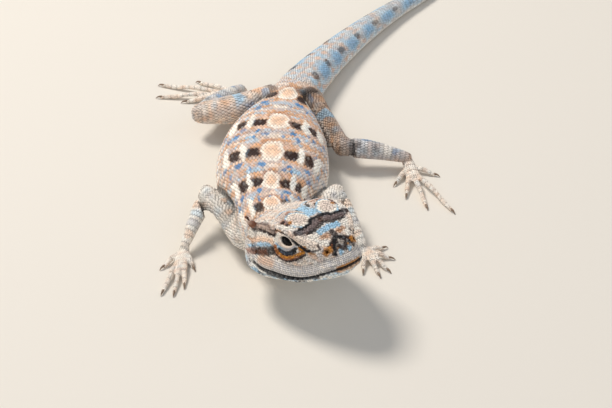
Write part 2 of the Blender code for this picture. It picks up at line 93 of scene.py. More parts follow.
def meshObject(name, bm):
    mesh = bpy.data.meshes.new(name)
    bm.to_mesh(mesh)
    bm.free()
    return newObject(name, mesh)


def buildStudio():
    tilt = math.radians(studio["viewHeight"])
    back = Vector((0.0, -math.cos(tilt), math.sin(tilt))) * studio["viewDistance"]
    camera = newObject("camera", bpy.data.cameras.new("camera"))
    camera.location = toRow @ (Vector(studio["target"]) + back)
    camera.rotation_euler = (math.pi / 2 - tilt, 0.0, 0.0)
    camera.data.lens = studio["lens"]
    camera.data.clip_start = 0.01
    bpy.context.scene.camera = camera

    bm = bmesh.new()
    bmesh.ops.create_grid(bm, x_segments=8, y_segments=8, size=studio["floorSize"] / 2)
    floor = meshObject("studioFloor", bm)
    paint, _, shader = newMaterial("matt painted board")  # a pale even floor with no gloss
    setInputs(shader, {"Base Color": linear(studio["floorColour"]), "Roughness": studio["floorRoughness"]})
    floor.data.materials.append(paint)

    for name, (spot, size, watts, colour) in studio["lamps"].items():
        lamp = bpy.data.lights.new(name, "AREA")
        lamp.shape = "DISK"
        lamp.size, lamp.energy = size, watts
        lamp.color = linear(colour)[:3]
        holder = newObject(name, lamp)
        holder.location = toRow @ Vector(spot)
        aim = toRow @ Vector(studio["lampTarget"]) - holder.location
        holder.rotation_euler = aim.to_track_quat("-Z", "Y").to_euler()
    world = bpy.data.worlds.new("studioSky")
    world.use_nodes = True
    colour, strength = studio["sky"]
    setInputs(world.node_tree.nodes["Background"], {"Color": linear(colour), "Strength": strength})
    bpy.context.scene.world = world
    bpy.context.scene.view_settings.view_transform = "Standard"
    print("studio ready")


# the lines that the body follows
trunk = {
    "path": [
        (-6.2, -3.5), (-6.9, 2.0), (-7.3, 9.0), (-7.3, 16.0), (-7.1, 23.0), (-6.6, 31.0), (-5.6, 39.0),
        (-4.2, 46.5), (-2.0, 54.5), (1.6, 62.6), (6.6, 71.8), (12.9, 81.6), (20.3, 91.4), (28.3, 100.2),
        (36.2, 109.4), (43.0, 119.6), (48.0, 130.6), (51.3, 142.4), (52.8, 154.5),
    ],
    "form": [  # distance, half width, back and belly heights
        (0.0, 6.0, 14.4, 3.6), (4.0, 7.0, 15.0, 2.6), (9.0, 8.3, 15.8, 1.5), (15.0, 10.4, 16.0, 0.5),
        (22.0, 11.8, 15.6, 0.0), (29.0, 11.9, 14.7, 0.0), (36.0, 11.0, 13.4, 0.0), (43.0, 9.1, 11.8, 0.0),
        (49.0, 6.9, 10.3, 0.0), (55.0, 5.6, 9.3, 0.0), (62.0, 4.85, 8.4, 0.0), (71.0, 4.2, 7.3, 0.0),
        (81.0, 3.5, 6.2, 0.0), (95.0, 2.7, 4.9, 0.0), (113.0, 1.9, 3.6, 0.0), (133.0, 1.25, 2.45, 0.0),
        (153.0, 0.75, 1.55, 0.0), (171.0, 0.42, 0.9, 0.0),
    ],
    "length": 171.0, "middleHeight": 0.42,
}
head = {
    "at": (-5.35, -4.6, 8.9), "yaw": 40.0, "pitch": -12.5, "roll": 2.5,
    "form": [  # forward, half width, crown and throat heights
        (-2.6, 6.7, 5.6, -3.2), (2.0, 9.8, 8.4, -4.0), (5.0, 10.1, 9.5, -3.8), (8.5, 9.5, 10.4, -3.3),
        (11.5, 8.8, 10.7, -2.7), (14.0, 8.0, 10.4, -2.2), (16.5, 6.9, 9.4, -1.6), (18.7, 5.7, 8.1, -1.0),
        (20.5, 4.6, 7.0, -0.2), (21.8, 3.3, 5.9, 0.6), (22.6, 1.5, 4.7, 1.8),
    ],
    "mouth": [
        (-2.6, 1.4), (4.5, 1.2), (7.0, 0.7), (10.0, 0.65), (13.0, 0.5), (16.0, 0.65), (18.0, 1.2),
        (20.0, 2.1), (22.5, 3.0), (24.0, 3.2),
    ],
    "mouthBack": 5.4, "mouthFront": 24.0, "mouthGap": 0.17,
}
eyes = {  # cut is the growth and height of each ring of the slit's cutter, and the rims are half sizes
    "at": (12.7, 4.9, 6.9), "radius": 2.45, "opening": (3.3, 1.84), "shift": (-0.47, -0.10),
    "look": (0.22, 0.93, 0.30), "slant": -0.12, "cut": ((-0.25, 0.5), (0.0, 2.6), (0.3, 4.2)),
    "rimMiddle": (-0.47, -0.06), "bareRim": (1.85, 1.08), "paleRim": (2.1, 1.3), "socketGap": 0.04,
}
nostrils = {"at": (19.9, 3.3, 5.9), "radius": 0.40}
ears = {"at": (3.4, 8.7, 3.2), "radius": 1.15, "depth": 1.4}
limbs = {  # points and radii from root to end
    "upper_arm_right": (((-12.2, 1.8, 6.2), (-16.3, 7.45, 7.25), (-20.4, 13.1, 7.7)), (3.8, 3.2, 2.55, 2.05)),
    "upper_arm_left": (((-2.0, 2.8, 6.2), (2.15, 8.35, 6.95), (6.3, 13.9, 7.1)), (3.8, 3.2, 2.55, 2.05)),
    "forearm_right": (((-20.4, 13.1, 7.7), (-22.7, 7.65, 5.5), (-25.0, 2.2, 2.3)), (1.9, 1.85, 1.5, 1.1)),
    "forearm_left": (((6.3, 13.9, 7.1), (8.95, 8.3, 5.2), (11.6, 2.7, 2.3)), (1.9, 1.85, 1.5, 1.1)),
    "thigh_right": (((-7.0, 49.2, 5.4), (-15.05, 45.8, 5.95), (-23.1, 44.2, 5.9)), (4.2, 3.6, 3.2, 2.45)),
    "thigh_left": (((0.2, 49.8, 5.0), (3.9, 41.1, 5.5), (7.6, 32.4, 5.4)), (4.0, 3.1, 2.6, 2.25)),
    "shin_right": (((-23.1, 44.2, 5.9), (-18.95, 51.0, 4.9), (-14.8, 57.8, 2.9)), (2.15, 2.25, 1.85, 1.35)),
    "shin_left": (((7.6, 32.4, 5.4), (14.75, 32.15, 4.65), (21.9, 31.9, 2.9)), (2.15, 2.25, 1.85, 1.35)),
}
feet = {  # ankle or wrist, tips of the digits, then length, width and thickness of the sole
    "hand_right": {"ankle": (-25.0, 2.2, 2.3), "sole": (3.0, 2.5, 1.5),
                   "tips": ((-22.6, -3.4), (-24.6, -9.0), (-26.7, -11.4), (-29.2, -11.1), (-29.9, -3.0))},
    "hand_left": {"ankle": (11.6, 2.7, 2.3), "sole": (3.0, 2.5, 1.5),
                  "tips": ((11.6, -4.6), (15.2, -5.6), (17.4, -4.0), (18.4, 0.4), (17.0, 4.4))},
    "foot_right": {"ankle": (-14.8, 57.8, 2.9), "sole": (4.4, 2.9, 1.8),
                   "tips": ((-23.0, 54.8), (-28.4, 56.3), (-34.2, 58.2), (-34.0, 63.2), (-25.4, 64.6))},
    "foot_left": {"ankle": (21.9, 31.9, 2.9), "sole": (4.4, 2.9, 1.8),
                  "tips": ((18.8, 25.0), (21.3, 20.6), (25.8, 16.8), (31.5, 15.5), (29.0, 28.6))},
}
digits = {  # forward and sideways are each root's share of the sole's length and width, inner digit first
    "radii": (0.62, 0.49, 0.54, 0.41, 0.46, 0.33), "arch": (0.5, 0.7, 0.9, 0.9, 0.6), "clawLength": 1.4,
    "forward": (0.50, 0.78, 0.90, 0.80, 0.40), "sideways": (0.40, 0.22, 0.0, -0.22, -0.42),
}
lineStep = 0.3  # distance between the samples of a line


def along(keys, at):
    # values at places on the smooth curve through keyed rows
    table = np.array(keys, float)
    spot, value = table[:, 0], table[:, 1:]
    slope = np.gradient(value, spot, axis=0)
    at = np.clip(np.atleast_1d(np.asarray(at, float)), spot[0], spot[-1])
    i = np.clip(np.searchsorted(spot, at, side="right") - 1, 0, len(spot) - 2)
    span = (spot[i + 1] - spot[i])[:, None]
    t = (at - spot[i])[:, None] / span
    return ((2 * t**3 - 3 * t**2 + 1) * value[i] + (t**3 - 2 * t**2 + t) * span * slope[i]
            + (3 * t**2 - 2 * t**3) * value[i + 1] + (t**3 - t**2) * span * slope[i + 1])


def withDistance(points):
    points = np.array(points, float)
    steps = np.linalg.norm(np.diff(points, axis=0), axis=1)
    return np.column_stack((np.concatenate(([0.0], np.cumsum(steps))), points))


def unit(vectors):
    return vectors / np.maximum(np.linalg.norm(vectors, axis=-1, keepdims=True), 1e-9)


headPose = Matrix.Translation(head["at"]) @ (
    Matrix.Rotation(math.radians(head["yaw"]), 4, "Z") @ Matrix.Rotation(math.radians(head["pitch"]), 4, "X")
    @ Matrix.Rotation(math.radians(head["roll"]), 4, "Y"))
headTurn = np.array(headPose.to_3x3())


def headPoint(forward, right, up):
    return headPose @ Vector((-right, -forward, up))


def headLocal(points):
    # forward, right and up of points in the head's own frame
    local = (np.asarray(points, float) - np.array(head["at"])) @ headTurn
    return np.column_stack((-local[:, 1], -local[:, 0], local[:, 2]))


def makeStem(name, at, middle, width, rise, drop, side=None):
    # a line that flesh surrounds, with its own directions and half sizes
    tangent = unit(np.gradient(middle, axis=0))
    side = unit(np.cross(upward, tangent)) if side is None else np.broadcast_to(side, middle.shape)
    return {"name": name, "at": at, "middle": middle, "tangent": tangent, "side": side,
            "up": unit(np.cross(tangent, side)), "width": width, "rise": rise, "drop": drop}


def roundStem(name, points, radii, spacing=lineStep):
    keys = withDistance(points)
    at = np.linspace(0.0, keys[-1, 0], max(6, int(keys[-1, 0] / spacing)))
    radius = along(np.column_stack((np.linspace(0.0, keys[-1, 0], len(radii)), radii)), at)[:, 0]
    return makeStem(name, at, along(keys, at), radius, radius, radius)


def footLines(name):
    # the sole's middle line and each digit's line, from the ankle to the claw
    foot = feet[name]
    length, width, thickness = foot["sole"]
    ankle = Vector(foot["ankle"])
    tips = [Vector((*tip, 0.0)) for tip in foot["tips"]]
    third = (tips[1] + tips[2] + tips[3]) / 3
    out = Vector((third.x - ankle.x, third.y - ankle.y, 0.0)).normalized()
    side = Vector((-out.y, out.x, 0.0))
    side *= 1 if side.dot(tips[0] - tips[4]) > 0 else -1
    heel, ball = ankle - out * 0.6, ankle + out * length
    heel.z, ball.z = ankle.z - 0.5, 0.5 * thickness + 0.1
    lines = []
    for k, tip in enumerate(tips):
        base = ankle + out * digits["forward"][k] * length + side * digits["sideways"][k] * width
        aim = Vector((tip.x - base.x, tip.y - base.y, 0.0))
        reach = aim.length - digits["clawLength"]
        aim.normalize()
        arch = digits["arch"][k]
        heights = (0.95, 0.95 + 0.25 * arch, 0.85 + 0.45 * arch, 0.68, 0.40)
        lines.append([Vector((base.x, base.y, 0.0)) + aim * reach * j / 4 + Vector((0.0, 0.0, h))
                      for j, h in enumerate(heights)])
    return heel, ball, out, lines


def buildStems():
    stems = []
    at = np.arange(0.0, trunk["length"] + 0.1, lineStep)
    plan = along(withDistance(trunk["path"]), at)
    width, top, bottom = along(trunk["form"], at).T
    height = bottom + trunk["middleHeight"] * (top - bottom)
    stems.append(makeStem("trunk", at, np.column_stack((plan, height)), width, top - height, height - bottom))
    at = np.arange(-2.4, 22.5, lineStep)
    width, crown, throat = along(head["form"], at).T
    middle = np.array([headPoint(f, 0.0, u) for f, u in zip(at, 0.5 * (crown + throat))])
    right = np.array(headPoint(0, 1, 0) - headPoint(0, 0, 0))
    half = 0.5 * (crown - throat)
    made = makeStem("head", at, middle, width, half, half, right)
    made["up"] = np.broadcast_to(np.array(headPoint(0, 0, 1) - headPoint(0, 0, 0)), middle.shape)
    stems.append(made)
    for name, (points, radii) in limbs.items():
        stems.append(roundStem(name, points, radii))
    for name in feet:
        heel, ball, out, lines = footLines(name)
        _, width, thickness = feet[name]["sole"]
        radii = [share * width for share in (0.36, 0.46, 0.48)]
        made = roundStem(name, [heel, heel.lerp(ball, 0.5), ball + out * 0.4], radii)
        made["rise"] = made["drop"] = np.full(len(made["at"]), 0.5 * thickness)
        stems.append(made)
        for k, line in enumerate(lines):
            stems.append(roundStem(f"{name}_digit_{k + 1}", line, digits["radii"], 0.25))
    return stems


def locate(stem, points):
    # nearest place on a stem: distance along it, angle round it, and distance from it against its size
    found = [np.zeros(len(points)), np.zeros(len(points)), np.full(len(points), 99.0)]
    reach = 2.6 * max(float(np.max(stem[key])) for key in ("width", "rise", "drop")) + 1.0
    low, high = stem["middle"].min(0) - reach, stem["middle"].max(0) + reach
    close = np.nonzero(((points > low) & (points < high)).all(1))[0]
    batch = 20000  # keeps the table of gaps small
    for start in range(0, len(close), batch):
        part = close[start:start + batch]
        p = points[part]
        gap = (p**2).sum(1)[:, None] - 2 * p @ stem["middle"].T + (stem["middle"]**2).sum(1)[None]
        i = gap.argmin(1)
        offset = p - stem["middle"][i]
        run = (offset * stem["tangent"][i]).sum(1)
        across = (offset * stem["side"][i]).sum(1) / stem["width"][i]
        lift = (offset * stem["up"][i]).sum(1)
        lift = lift / np.where(lift > 0, stem["rise"][i], stem["drop"][i])
        beyond = np.where((i == 0) | (i == len(stem["at"]) - 1), run / stem["width"][i], 0.0)
        found[0][part] = stem["at"][i] + run
        found[1][part] = np.degrees(np.arctan2(across, lift))
        found[2][part] = np.sqrt(across**2 + lift**2 + beyond**2)
    return found


def lineDistance(points, line):
    line = np.array(line, float)
    if len(line) == 1:
        return np.linalg.norm(points - line[0], axis=1)
    best = np.full(len(points), 1e9)
    for a, b in zip(line, line[1:]):
        way = b - a
        t = np.clip((points - a) @ way / (way @ way), 0.0, 1.0)
        best = np.minimum(best, np.linalg.norm(points - a - t[:, None] * way, axis=1))
    return best


# the skin: sizes in millimetres
skinPlan = {
    "pieceName": "agamaSkin", "voxel": 0.46, "grow": 0.22, "coatDepth": 0.13, "smoothing": 3,
    "digitSides": 14, "handVoxel": 0.22, "wristReach": 1.9,
}


def loft(name, rings):
    # a closed solid through rings of points, its ends filled
    bm = bmesh.new()
    ring = bmesh.ops.create_circle(bm, segments=len(rings[0]), radius=1.0)["verts"]
    first = list(ring)
    for vert, point in zip(ring, rings[0]):
        vert.co = point
    for points in rings[1:]:
        edges = [bm.edges.get((a, b)) for a, b in zip(ring, ring[1:] + ring[:1])]
        new = set(bmesh.ops.extrude_edge_only(bm, edges=edges)["geom"])
        ring = [next(e.other_vert(v) for e in v.link_edges if e.other_vert(v) in new) for v in ring]
        for vert, point in zip(ring, points):
            vert.co = point
    for end in (first, ring):
        bmesh.ops.contextual_create(bm, geom=[bm.edges.get((a, b)) for a, b in zip(end, end[1:] + end[:1])])
    bmesh.ops.recalc_face_normals(bm, faces=bm.faces)
    return meshObject(name, bm)


def ball(name, middle, radii, turn=None, detail=(32, 20)):
    bm = bmesh.new()
    pose = Matrix.Translation(middle) @ (turn or Matrix.Identity(4)) @ Matrix.Diagonal((*radii, 1.0))
    bmesh.ops.create_uvsphere(bm, u_segments=detail[0], v_segments=detail[1], radius=1.0, matrix=pose)
    return meshObject(name, bm)


def ringAt(middle, side, up, width, rise, drop, count):
    turns = np.linspace(0.0, 2 * math.pi, count, endpoint=False)
    c, s = np.cos(turns)[:, None], np.sin(turns)[:, None]
    return middle + side * c * width + up * s * np.where(s > 0, rise, drop)


def stemSolid(stem, step, count, grow, ends=(0.5, 1.0, 1.35)):
    # a rounded solid round a stem
    last = len(stem["at"]) - 1
    picks = sorted({int(round(k)) for k in np.linspace(0, last, max(3, int(stem["at"][-1] / step)))})
    rings = []
    for cap, i in ((-1, picks[0]), (1, picks[-1])):
        size = np.array((stem["width"][i], stem["rise"][i], stem["drop"][i])) + grow
        for a in ends:
            middle = stem["middle"][i] + cap * stem["tangent"][i] * size[1] * math.sin(a)
            rings.append(ringAt(middle, stem["side"][i], stem["up"][i], *(size * math.cos(a)), count))
    body = [ringAt(stem["middle"][i], stem["side"][i], stem["up"][i], stem["width"][i] + grow,
                   stem["rise"][i] + grow, stem["drop"][i] + grow, count) for i in picks]
    half = len(ends)
    return loft(stem["name"], rings[:half][::-1] + body + rings[half:])


def opened(mesh):
    bm = bmesh.new()
    bm.from_mesh(mesh)
    return bm


def closed(bm, mesh):
    bm.to_mesh(mesh)
    bm.free()


def relax(bm, verts, times):
    for _ in range(times):
        bmesh.ops.smooth_vert(bm, verts=verts, factor=0.5, use_axis_x=True, use_axis_y=True, use_axis_z=True)


def applied(target, modifier):
    graph = bpy.context.evaluated_depsgraph_get()
    mesh = bpy.data.meshes.new_from_object(target.evaluated_get(graph))
    target.modifiers.remove(modifier)
    target.data = mesh
    return target


def carve(target, cutters, operation="DIFFERENCE"):
    group = bpy.data.collections.new("cutters")
    bpy.context.scene.collection.children.link(group)
    for cutter in cutters:
        bpy.context.scene.collection.objects.unlink(cutter)
        group.objects.link(cutter)
    modifier = target.modifiers.new("carve", "BOOLEAN")
    modifier.operation, modifier.solver = operation, "MANIFOLD"
    modifier.operand_type, modifier.collection = "COLLECTION", group
    applied(target, modifier)
    for cutter in cutters:
        bpy.data.objects.remove(cutter)
    bpy.data.collections.remove(group)
    return target


def eyeTurn(sign):
    # turns +Z to look out of the eye, with +X along the slit between the lids
    origin = headPoint(0, 0, 0)
    out = (headPoint(eyes["look"][0], sign * eyes["look"][1], eyes["look"][2]) - origin).normalized()
    slit = (headPoint(1.0, 0.0, eyes["slant"]) - origin).normalized()
    slit = (slit - out * slit.dot(out)).normalized()
    return Matrix((slit, out.cross(slit), out)).transposed().to_4x4()


def eyeMiddle(sign):
    forward, right, up = eyes["at"]
    return headPoint(forward, sign * right, up)


def eyeLocal(points):
    # places along and across the slit of the nearer eye, and their height over its middle
    local = headLocal(points)
    places = np.column_stack((-np.abs(local[:, 1]), -local[:, 0], local[:, 2])) @ headTurn.T + np.array(head["at"])
    pose = np.array((Matrix.Translation(eyeMiddle(1)) @ eyeTurn(1)).inverted())
    return places @ pose[:3, :3].T + pose[:3, 3]


def almond(sign, away, height, count=40):
    # outline round the opening between the lids, some way outside it, at a height over the eye's middle
    points = []
    for k in range(count):
        c, d = math.cos(2 * math.pi * k / count), math.sin(2 * math.pi * k / count)
        bend, share = (0.35, 1.0) if d < 0 else (0.15, 0.97)  # the lower lid, or the fuller upper one
        x = eyes["shift"][0] + (eyes["opening"][0] / 2 + away) * c
        y = eyes["shift"][1] + (eyes["opening"][1] / 2 * abs(d) ** bend * share + away) * d
        points.append(Vector((x, sign * y, height)))
    return points


def headCutters():
    cutters = []
    for sign in (1, -1):
        pose = Matrix.Translation(eyeMiddle(sign)) @ eyeTurn(sign)
        rings = [[pose @ point for point in almond(sign, away, height)] for away, height in eyes["cut"]]
        cutters.append(loft("lidOpening", rings))
        middle = pose @ Vector((eyes["shift"][0], sign * eyes["shift"][1], 0.0))
        cutters.append(ball("socket", middle, (eyes["radius"] + eyes["socketGap"],) * 3))
        turn = Matrix.Rotation(math.radians(head["yaw"]), 4, "Z")
        forward, right, up = ears["at"]
        cutters.append(ball("earCup", headPoint(forward, sign * (right + 0.25), up),
                            (ears["depth"], ears["radius"], ears["radius"] * 0.9), turn))
        forward, right, up = nostrils["at"]
        line = [headPoint(forward - 0.5, sign * (right - 0.8), up - 0.3),
                headPoint(forward + 0.9, sign * (right + 0.9), up + 0.6)]
        stem = roundStem("nostril", line, (nostrils["radius"] * 0.8, nostrils["radius"] * 1.25))
        cutters.append(stemSolid(stem, 0.4, 16, 0.0, (0.8,)))
    keys = np.linspace(head["mouthBack"], head["mouthFront"], 40)
    line = along(head["mouth"], keys)[:, 0]
    gap = head["mouthGap"] / 2
    outline = [(f, u + gap) for f, u in zip(keys, line)] + [(f, u - gap) for f, u in zip(keys[::-1], line[::-1])]
    cutters.append(loft("mouthSlit", [[headPoint(f, side, u) for f, u in outline] for side in (-12.0, 12.0)]))
    return cutters


relief = [  # height, reach, then points as forward, right and up: ridges are positive and grooves negative
    (0.60, 2.9, [(9.6, 4.3, 10.4)]),
    (-0.16, 0.9, [(6.5, 0.0, 10.0), (13.0, 0.0, 10.6)]),
    (-0.16, 0.28, [(9.9, 1.4, 10.6), (7.9, 1.7, 10.4), (6.7, 3.0, 10.2), (6.6, 4.8, 9.8)]),
    (0.42, 0.55, [(8.4, 6.9, 9.5), (10.4, 7.1, 9.9), (12.6, 7.0, 9.8), (14.2, 6.6, 9.3), (15.6, 6.2, 8.5),
                  (17.4, 5.1, 7.4)]),
    (-0.42, 0.27, [(10.2, 7.8, 9.3), (12.6, 7.6, 9.0), (14.1, 7.3, 8.6), (15.3, 6.9, 7.9), (16.4, 6.4, 7.2),
                   (17.8, 5.4, 6.3)]),
    (0.22, 0.30, [(10.6, 8.0, 8.9), (12.6, 7.8, 8.5), (14.4, 7.3, 8.0)]),
    (0.16, 0.24, [(10.9, 8.1, 7.8), (11.9, 8.2, 7.0), (13.0, 8.1, 6.6), (14.2, 7.6, 7.0)]),
    (-0.28, 0.30, [(10.4, 8.0, 6.3), (11.8, 8.0, 5.4), (13.1, 7.8, 5.2), (14.3, 7.5, 5.7), (15.3, 7.1, 6.5)]),
    (0.34, 0.38, [(9.2, 8.0, 6.0), (10.0, 8.1, 4.8), (11.5, 8.2, 4.3), (12.9, 8.0, 4.0), (14.4, 7.4, 4.7),
                  (16.0, 6.6, 5.4)]),
    (-0.24, 0.28, [(8.8, 8.1, 5.2), (9.9, 8.3, 4.1), (11.6, 8.4, 3.5), (12.9, 8.2, 3.3), (14.8, 7.4, 3.9),
                   (17.0, 6.2, 5.0)]),
    (0.26, 0.30, [(19.4, 3.9, 5.4), (20.3, 3.5, 5.3), (20.8, 2.9, 5.9), (20.3, 2.8, 6.6), (19.3, 3.5, 6.6),
                  (19.1, 4.0, 5.9)]),
    (0.30, 0.55, [(1.1, 6.5, 7.1), (3.5, 6.6, 7.7), (6.8, 7.0, 8.4), (9.0, 7.2, 8.8)]),
    (-0.26, 0.28, [(1.0, 7.0, 6.2), (3.8, 7.0, 7.0), (6.7, 7.4, 7.5), (9.6, 7.8, 7.8)]),
    (0.20, 0.60, [(1.5, 8.3, 4.6), (5.1, 7.8, 5.2), (8.4, 7.9, 6.0)]),
    (-0.18, 0.30, [(3.6, 8.4, 2.4), (6.4, 8.6, 3.2), (8.4, 8.4, 3.9)]),
    (0.16, 0.50, [(16.9, 2.2, 9.3), (18.6, 2.6, 8.2), (19.6, 2.6, 7.3)]),
]
# rise over the mouth, height and reach
lips = [(0.9, 0.20, 0.75), (2.45, -0.20, 0.35), (-0.75, 0.20, 0.5), (-1.65, -0.22, 0.35)]
folds = [  # two stems, the fold's depth, the reach of the painted shade drawn along it, and the share of the second where it starts
    ("trunk", "thigh_left", 1.40, 0.48, 0.06), ("trunk", "thigh_right", 0.55, 0.20, 0.16),
    ("trunk", "upper_arm_left", 0.7, 0.20, 0.30), ("trunk", "upper_arm_right", 1.25, 0.32, 0.24),
    ("head", "upper_arm_right", 0.5, 0.15, 0.0), ("thigh_right", "shin_right", 0.30, 0.16, 0.14),
    ("thigh_left", "shin_left", 0.10, 0.14, 0.14), ("upper_arm_right", "forearm_right", 0.12, 0.14, 0.14),
    ("upper_arm_left", "forearm_left", 0.12, 0.14, 0.14),
]


def headHeights(points):
    local = headLocal(points)
    local[:, 1] = np.abs(local[:, 1])
    total = np.zeros(len(points))
    for height, reach, line in relief:
        total += height * np.exp(-(lineDistance(local, line) / reach) ** 2)
    rise = local[:, 2] - along(head["mouth"], local[:, 0])[:, 0]
    side = np.clip((local[:, 0] - 3.5) / 3.0, 0.0, 1.0) * (np.abs(rise) < 4.0)
    for at, height, reach in lips:
        total += height * side * np.exp(-((rise - at) / reach) ** 2)
    return total


def foldDepths(points, stems):
    # how deep the skin is folded in between two parts that touch, how dark each place is painted as the fold's shade,
    # and how tight it is there
    near = {stem["name"]: (stem, *locate(stem, points)) for stem in stems if "digit" not in stem["name"]}
    depth, shade, pinch = np.zeros((3, len(points)))
    fade, lead, outermost, fullDepth = 0.12, 0.1, 1.6, 0.9
    for first, second, deep, reach, start in folds:
        farA = near[first][3]
        stem, at, _, farB = near[second]
        share = np.clip((at / stem["at"][-1] - start) / fade, 0.0, 1.0)
        wider = np.clip((at / stem["at"][-1] - start + lead) / fade, 0.0, 1.0)
        close = np.maximum(farA, farB) < outermost
        strength = min(1.0, deep / fullDepth)
        here = np.exp(-((farA - farB) / (0.13 + 0.08 * deep)) ** 2) * share * close
        depth = np.maximum(depth, deep * here)
        pinch = np.maximum(pinch, strength * here)
        shade = np.maximum(shade, strength * np.exp(-((farA - farB) / reach) ** 2) * wider * close)
    return depth, shade, pinch


def shellSkin(name, shell, voxel, smoothing, shrink):
    # one closed surface round overlapping solids, a little inside them
    made = meshObject(name, shell)
    modifier = made.modifiers.new("remesh", "REMESH")
    modifier.mode, modifier.voxel_size = "VOXEL", voxel
    applied(made, modifier)
    bm = opened(made.data)
    relax(bm, bm.verts, smoothing)
    bm.normal_update()
    for vert in bm.verts:
        vert.co -= vert.normal * shrink
    closed(bm, made.data)
    print(name, "remeshed", len(made.data.polygons))
    return made


def addSolids(shell, solids):
    for solid in solids:
        shell.from_mesh(solid.data)
        bpy.data.objects.remove(solid)


def buildSkin(stems):
    grow = skinPlan["grow"]
    flesh = [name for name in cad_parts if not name.startswith("eye")]
    shell = bmesh.new()
    for name in flesh:
        if name.startswith(("hand", "foot")):
            continue
        bm = opened(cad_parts[name].data)
        bmesh.ops.transform(bm, matrix=toRow.inverted(), verts=bm.verts)
        bmesh.ops.remove_doubles(bm, verts=bm.verts, dist=0.002)
        bm.normal_update()
        for vert in bm.verts:
            vert.co += vert.normal * grow
        grown = bpy.data.meshes.new("grown")
        closed(bm, grown)
        shell.from_mesh(grown)
        bpy.data.meshes.remove(grown)
    # the solids' own hollows are filled, and cut again once the skin is fine enough
    fillers = []
    for sign in (1, -1):
        fillers.append(ball("socketFill", eyeMiddle(sign), (eyes["radius"] + 0.75,) * 3, detail=(20, 14)))
        forward, right, up = ears["at"]
        fillers.append(ball("earFill", headPoint(forward, sign * (right - 1.1), up), (1.7,) * 3, detail=(16, 10)))
        forward, right, up = nostrils["at"]
        fillers.append(ball("nostrilFill", headPoint(forward, sign * (right - 0.7), up), (0.9,) * 3, detail=(16, 10)))
    addSolids(shell, fillers)
    skin = shellSkin(skinPlan["pieceName"], shell, skinPlan["voxel"], skinPlan["smoothing"],
                     grow + skinPlan["coatDepth"])
    hands = bmesh.new()
    fine = skinPlan["handVoxel"]
    addSolids(hands, [stemSolid(stem, 0.5, skinPlan["digitSides"], 0.5 * fine) for stem in stems
                      if stem["name"].startswith(("hand", "foot"))])
    hands = shellSkin("handSkin", hands, fine, 2, 0.5 * fine)

    # the head's faces are split once, so that its relief has room
    bm = opened(skin.data)
    points = np.array([vert.co for vert in bm.verts])
    onHead = (locate(stems[1], points)[2] < 1.35) & (headLocal(points)[:, 0] > -1.5)
    faces = [face for face in bm.faces if all(onHead[vert.index] for vert in face.verts)]
    edges = {edge for face in faces for edge in face.edges}
    bmesh.ops.subdivide_edges(bm, edges=list(edges), cuts=1, use_grid_fill=True)
    bm.normal_update()
    points = np.array([vert.co for vert in bm.verts])
    onHead = (locate(stems[1], points)[2] < 1.4) & (headLocal(points)[:, 0] > -1.8)
    relax(bm, [vert for vert, use in zip(bm.verts, onHead) if use], 2)
    bm.normal_update()
    points = np.array([vert.co for vert in bm.verts])
    move = np.where(onHead, headHeights(points), 0.0) - foldDepths(points, stems)[0]
    for vert, amount in zip(bm.verts, move):
        vert.co += vert.normal * amount
        vert.co.z = max(vert.co.z, 0.03)
    closed(bm, skin.data)
    carve(skin, [hands], "UNION")
    carve(skin, headCutters())
    bm = opened(skin.data)
    ankles = [Vector(foot["ankle"]) for foot in feet.values()]
    reach = skinPlan["wristReach"]
    relax(bm, [vert for vert in bm.verts if min((vert.co - spot).length for spot in ankles) < reach], 3)
    bmesh.ops.triangulate(bm, faces=[face for face in bm.faces if len(face.verts) > 4])
    for vert in bm.verts:
        vert.co.z = max(vert.co.z, 0.02)
    closed(bm, skin.data)
    print("skin finished", len(skin.data.polygons))
    return skin, flesh


# markings, shared by the skin and every scale
inkNames = ("umber", "black", "blue", "ice", "cream", "apricot", "rust", "amber", "lilac")
# place along the back, tilt, half length and half angle of its pale oval, size of its spots, and how far these
# slip along the body, on the left and on the right
trunkRows = [
    (2.1, 2.0, 2.3, 13.0, 0.85, -0.2, -0.5), (9.4, -1.0, 2.7, 12.2, 0.78, -0.7, 0.2),
    (20.2, -1.5, 4.1, 12.8, 1.0, -1.2, -0.2), (33.4, -4.0, 3.9, 12.6, 0.95, -1.2, -0.7),
    (49.1, -2.0, 3.4, 18.0, 1.0, -1.4, -0.9),
]
rowWidth, napeRow = 12.8, 4.0  # the oval that rowSpots are drawn for, and how far back the nape's row lies
rowSpots = [  # colour, strength, place from the oval, angle from it, half length, half angle: laid on both sides
    ("ice", 0.75, -6.3, 32, 0.9, 4.6), ("ice", 0.6, 4.9, 24, 0.8, 8.0), ("ice", 0.6, -4.7, 29, 0.7, 2.8),
    ("ice", 0.55, 3.3, 36, 0.7, 3.6), ("ice", 0.5, -2.9, 12, 0.6, 3.5), ("blue", 0.9, -4.1, 19, 1.0, 5.0),
    ("blue", 0.6, -3.3, 35, 0.8, 3.2), ("blue", 0.85, -3.7, 44, 1.2, 4.6), ("blue", 0.7, -5.9, 12, 0.8, 2.8),
    ("blue", 0.8, -6.6, 23, 1.35, 2.8), ("blue", 0.65, -5.3, 53, 0.9, 3.4), ("blue", 0.5, 2.7, 48, 0.8, 3.4),
    ("blue", 0.6, -2.6, 60, 0.9, 4.0), ("umber", 0.98, 0.0, 21.2, 1.85, 8.6), ("umber", 0.96, 0.3, 41.5, 1.95, 6.4),
    ("cream", 1.0, 1.0, 31.4, 3.4, 4.0), ("cream", 1.0, 0.8, 54, 3.0, 6.0), ("ice", 0.15, 1.0, 31.4, 2.6, 2.6),
]
tailSpots = {"first": 62.4, "step": 7.2, "growth": 0.35, "angle": 40.0, "half": (1.1, 13.0), "blueShare": 0.55}
